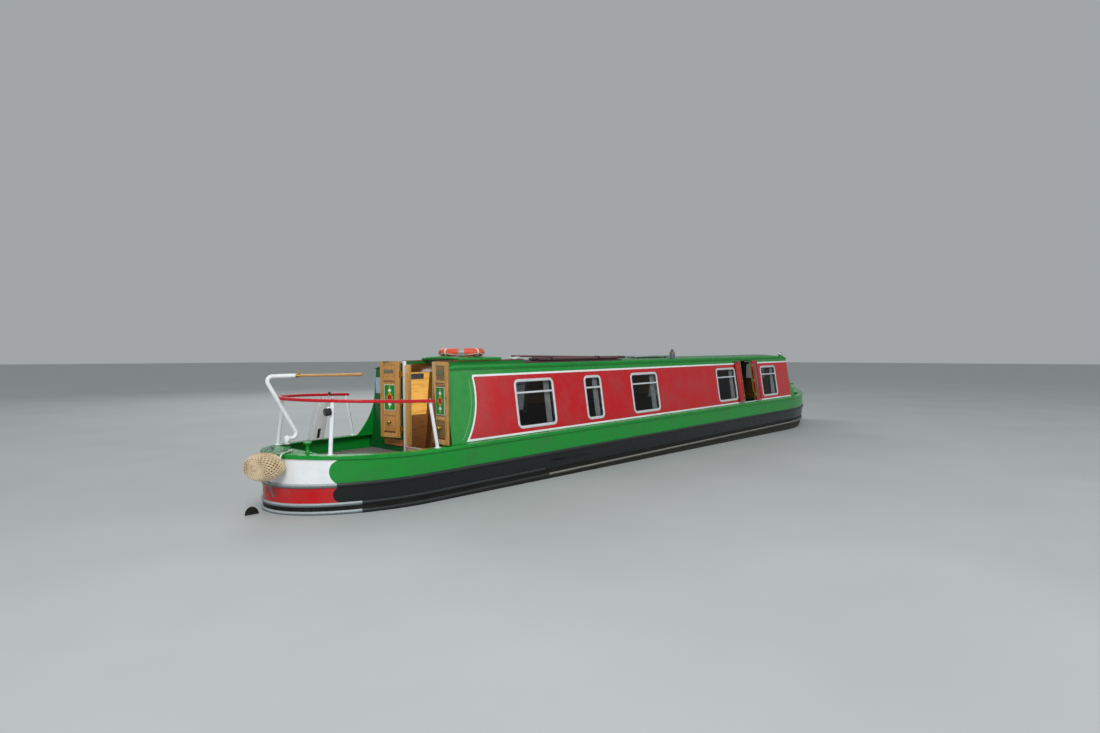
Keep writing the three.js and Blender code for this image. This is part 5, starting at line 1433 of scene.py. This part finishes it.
def make_stern_fender():
    """A round button fender: a core in a net of two families of rope, wound opposite ways; the core's dark
    brown is painted shade between the ropes.
    """
    profile = [(0.0, 0.0), (0.08, 0.0005), (0.14, 0.004), (0.17, 0.024), (0.185, 0.06), (0.194, 0.1),
               (0.196, 0.14), (0.194, 0.18), (0.185, 0.22), (0.17, 0.252), (0.145, 0.275), (0.08, 0.279),
               (0.0, 0.28)]
    # it hangs a little to starboard with its flat back along the plate
    place = Matrix.Translation((at(-1.935), -0.17, 1.187)) @ Matrix.Rotation(radians(14), 4, "Z")
    place = place @ Matrix.Diagonal((0.95, 1.28, 0.8, 1))
    curve = smooth_line([(r, 0, h) for r, h in profile], 9)
    curve = [Vector((max(0.0, p.x), 0, min(0.28, max(0.0, p.z)))) for p in curve]
    run, core, laid = 0.0, [], []
    for k, p in enumerate(curve):
        before, after = curve[max(0, k - 1)], curve[min(len(curve) - 1, k + 1)]
        if k:
            run += (p - before).length
        out = (after - before).normalized()
        out = Vector((out.z, 0, -out.x))
        near_axis = min(1.0, p.x / 0.05)
        laid.append((run, p - out * 0.0095 * near_axis))
        deep = p - out * 0.017 * near_axis
        core.append([place @ Vector((-deep.z, deep.x * cos(a), deep.x * sin(a))) for a in round_steps(48)])
    fender = Shape(fender_rope).add(loft(core, caps=False), shaded_fender_core)
    strands, twist = 22, 0.19  # ropes each way, and the run in metres that turns a rope by a radian
    for hand in (1, -1):
        for k in range(strands):
            path = []
            for run, p in laid:
                a = 2 * pi * k / strands + hand * run / twist
                if p.x > 0.045:
                    path.append(place @ Vector((-p.z, p.x * cos(a), p.x * sin(a))))
            fender.add(tube(path, 0.0085, 8))
    collar = [(0.0, -0.262), (0.03, -0.262), (0.04, -0.27), (0.03, -0.2788), (0, -0.28)]
    fender.add(turned(collar, axis=(1, 0, 0)), place=place)
    piece("stern_fender_weave", fender, stands_for="stern_fender", smooth=80)


def make_fender_lines():
    """Two chains and their deck eyes, a third chain that holds the fender down, and a lashing."""
    links = {"Spacing": 0.0235, "Wire": 0.0036, "Width": 0.0085, "Finish": deck_steel}
    for name, side, run in (
        ("port", 1, ((-2.039, -0.124, 1.325), (-1.968, -0.03, 1.35), (-1.79, 0.19, 1.35))),
        ("starboard", -1, ((-2.005, -0.26, 1.325), (-1.94, -0.252, 1.35), (-1.79, -0.19, 1.35))),
    ):
        repeat_along(f"fender_chain_{name}", [(at(s), y, z) for s, y, z in run], "chain", links)
        s, y = at(-1.775), side * 0.195
        eye = Shape(deck_steel).add(turned([(0, -0.01), (0.016, -0.01), (0.016, 0.006), (0.007, 0.01),
                                            (0.007, 0.02), (0, 0.02)], (s, y, 1.326), sides=20))
        ring = [Vector((s, y, 1.352)) + Vector((0.012 * cos(t), 0, 0.012 * sin(t)))
                for t in (2 * pi * k / 16 for k in range(17))]
        eye.add(tube(ring, 0.0035, 8))
        piece(f"fender_eye_{name}", eye, smooth=50)
    repeat_along("fender_lower_chain", [(at(-2.01), -0.17, 1.06), (at(-1.945), -0.16, 0.83)], "chain", links)
    lashing = Shape(white_rope)
    for run in (((-1.73, -0.17, 1.316), (-1.755, -0.2, 1.331), (-1.84, -0.27, 1.333),
                 (-1.925, -0.36, 1.334), (-1.955, -0.385, 1.312), (-1.962, -0.39, 1.28)),
                ((-1.73, -0.17, 1.33), (-1.745, -0.14, 1.334), (-1.72, -0.12, 1.328),
                 (-1.7, -0.15, 1.326), (-1.73, -0.18, 1.334))):
        lashing.add(tube(smooth_line([(at(s), y, z) for s, y, z in run]), 0.009, 14))
    piece("fender_lashing", lashing, smooth=80)


# Roof gear


def make_plank():
    """A tarred gang plank with three steel battens, lying on the roof."""
    y0, y1, low, high = -0.64, -0.39, 0.0022, 0.037
    plank, rows = Shape(plank_wood), []
    for s, t in ((1.15, 0.004), (1.16, 0.0), (4.14, 0.0), (4.15, 0.004)):
        rows.append([(at(s), y, roof_z(y) + h) for y, h in
                     ((y0 + t, low + t), (y0 + t, high - t), (y1 - t, high - t), (y1 - t, low + t))])
    plank.add(loft(rows))
    for s in (1.55, 2.65, 3.75):
        plank.add(loft([[(at(s + d), y, roof_z(y) + high + h) for y, h in
                         ((-0.635, -0.002), (-0.635, 0.0022), (-0.395, 0.0022), (-0.395, -0.002))]
                        for d in (0.0, 0.05)]), bare_steel)
    piece("gang_plank", plank, bevel=0.0015, stands_for="roof_plank")


def make_poles():
    """Two stained poles with steel sleeves, strapped on the plank, and the mop's handle beside them."""
    poles = Shape(pole_wood)
    for y, a, b in ((-0.596, 2.05, 4.05), (-0.54, 1.9, 4.35)):
        z = roof_z(y) + 0.0624
        path = [(at(lerp(a, b, k / 10)), y, z) for k in range(11)]
        poles.add(tube(path, [0.02] + [0.0255] * 9 + [0.022], 18))
        poles.add(turned([(0.0258, 0), (0.0262, 0.001), (0.0262, 0.09), (0.0258, 0.091)],
                         (at(a + 0.06), y, z), (1, 0, 0)), bare_steel)
    strap = [(-0.626, 0.038), (-0.624, 0.075), (-0.6, 0.093), (-0.536, 0.0935), (-0.5, 0.07), (-0.42, 0.05),
             (-0.42, 0.044), (-0.502, 0.06), (-0.54, 0.088), (-0.596, 0.088), (-0.618, 0.07), (-0.62, 0.038)]
    for s in (2.3, 3.5):
        poles.add(loft([[(at(s) + d, y, roof_z(-0.54) + h) for y, h in strap] for d in (0.0, 0.04)]),
                  black_rubber)
    handle = [(at(1.6), -0.455, 2.392), (at(2.6), -0.4695, 2.3725), (at(3.65), -0.485, 2.352)]
    poles.add(tube(handle, 0.0155), mop_handle)
    piece("poles_and_mop_handle", poles, stands_for="boat_poles", smooth=50)


def make_mop():
    """The mop's head: 46 cotton strands that fan out from the handle's end."""
    mop = Shape(mop_cotton)
    for k in range(46):
        a = 2 * pi * (k * 0.618 % 1)
        r = 0.008 + 0.018 * (k * 0.37 % 1)
        dy, dz = r * 1.9 * cos(a), r * 0.85 * sin(a)
        start = Vector((at(1.79), -0.455 + dy * 0.4, 2.3625 + dz * 0.4))
        end = Vector((at(1.552 + 0.03 * (k * 0.73 % 1)), -0.455 + dy * 1.5, 2.3525 + dz * 0.5))
        middle = start.lerp(end, 0.45) + Vector((0, dy * 0.6, 0.008 + dz * 0.5))
        mop.add(tube(smooth_line([start, middle, end], 6), 0.0048, 7))
    piece("mop_head", mop, smooth=80)


def make_solar_panel():
    """Cells under glass in an aluminium frame, on four short feet."""
    panel = Shape(aluminium).add(block(at(5.08), at(6.3), -0.27, 0.27, 2.3225, 2.3485))
    panel.add(block(at(5.095), at(6.285), -0.255, 0.255, 2.34, 2.3495), cells)
    for s in (5.12, 6.2):
        for y in (-0.24, 0.2):
            panel.add(block(at(s), at(s + 0.06), y, y + 0.04, roof_z(y) + 0.0004, 2.326))
    piece("solar_panel_framed", panel, bevel=0.0015, stands_for="solar_panel")


def make_chimney():
    """A short enamelled flue with a narrow cowl and one brass band."""
    base = (at(6.0), -0.52, roof_z(-0.462) + 0.0003)
    chimney = Shape(chimney_steel).add(turned(
        [(0, 0), (0.058, 0), (0.0575, 0.008), (0.053, 0.012), (0.0525, 0.122), (0.05, 0.129),
         (0.032, 0.1345), (0.027, 0.138), (0.0265, 0.166), (0.03, 0.169), (0.03, 0.174),
         (0.02, 0.1785), (0, 0.18)], base, sides=48))
    chimney.add(turned([(0.0523, 0.1), (0.0545, 0.101), (0.0545, 0.114), (0.0523, 0.115)], base, sides=48),
                brass)
    piece("chimney_with_cap", chimney, stands_for="chimney", smooth=50)


def make_headlamp():
    """A chromed bowl lamp on a bracket, looking forward from the roof's starboard edge."""
    y, z = HEADLAMP_Y, roof_z(HEADLAMP_Y) + 0.07
    back = (at(10.66), y, z)
    lamp = Shape(chrome)
    lamp.add(block(at(10.682), at(10.728), y - 0.029, y + 0.029, roof_z(y + 0.03) + 0.001, z - 0.052))
    lamp.add(turned([(0, 0), (0.02, 0.002), (0.036, 0.014), (0.045, 0.04), (0.052, 0.075),
                     (0.0535, 0.078), (0.0535, 0.087), (0.051, 0.0895), (0.048, 0.088), (0.042, 0.074),
                     (0.02, 0.06), (0, 0.056)], back, (1, 0, 0)))
    lamp.add(turned([(0, 0.084), (0.025, 0.086), (0.047, 0.082), (0.047, 0.079), (0.025, 0.081),
                     (0, 0.08)], back, (1, 0, 0)), lamp_glass)
    for side in (-1, 1):
        lamp.add(tube([(at(10.705), y + side * 0.026, z - 0.054), (at(10.705), y + side * 0.051, z - 0.03),
                       (at(10.71), y + side * 0.051, z)], 0.004, 10))
    piece("tunnel_headlamp", lamp, stands_for="headlamp", smooth=50)


def finish_cad():
    """Finishes for the CAD parts that keep their own shape."""
    for node, finish in {
        # the bulkheads take the darker green of painted shade
        "baseplate": blacking, "swim_and_counter_bottom": blacking, "rear_bulkhead": shaded_bulkhead_enamel,
        "front_bulkhead": shaded_bulkhead_enamel, "cabin_floor": floor_board, "well_floor": deck_steel,
        "propeller": bronze, "engine_block": engine_paint,
    }.items():
        part = bpy.data.objects[node]
        part.data.materials.clear()
        part.data.materials.append(finish)


def make_floor():
    """A pale floor at the waterline, which falls a little towards the bow, as the boat floats."""
    size = 160
    corners = [(x, y, WATERLINE_Z - TRIM * (x - BULKHEAD_X)) for x, y in
               ((-size, -size), (size, -size), (size, size), (-size, size))]
    mesh = bpy.data.meshes.new("floor")
    mesh.from_pydata(corners, [], [(0, 1, 2, 3)])
    made, tree, place = coating("studio_floor", "#BFC3C2", 0.7)
    cloud = add(tree, "ShaderNodeTexNoise", {"Vector": place, "Scale": 0.5, "Detail": 3.0})
    tone = add(tree, "ShaderNodeValToRGB", {0: cloud})
    ramp_stops(tone, [(0.3, "#BCC0BF"), (0.7, "#C3C7C6")])
    mesh.materials.append(feed(made, {"Base Color": tone}))
    stand("floor", mesh)


make_camera()
make_lights()
make_hull()
make_strakes()
make_gunwale()
make_aft_deck()
make_bow_deck()
make_locker_lid()
make_cockpit_floor()
make_cabin_sides()
make_windows()
make_roof()
make_sliding_hatch()
make_lifebuoy()
make_rear_doors()
make_door_frame()
make_front_doors()
make_side_hatch_leaves()
make_rudder()
make_tiller()
make_taffrail()
make_taffrail_posts()
make_control_column()
make_stern_fender()
make_fender_lines()
make_plank()
make_poles()
make_mop()
make_solar_panel()
make_chimney()
make_headlamp()
finish_cad()
make_floor()
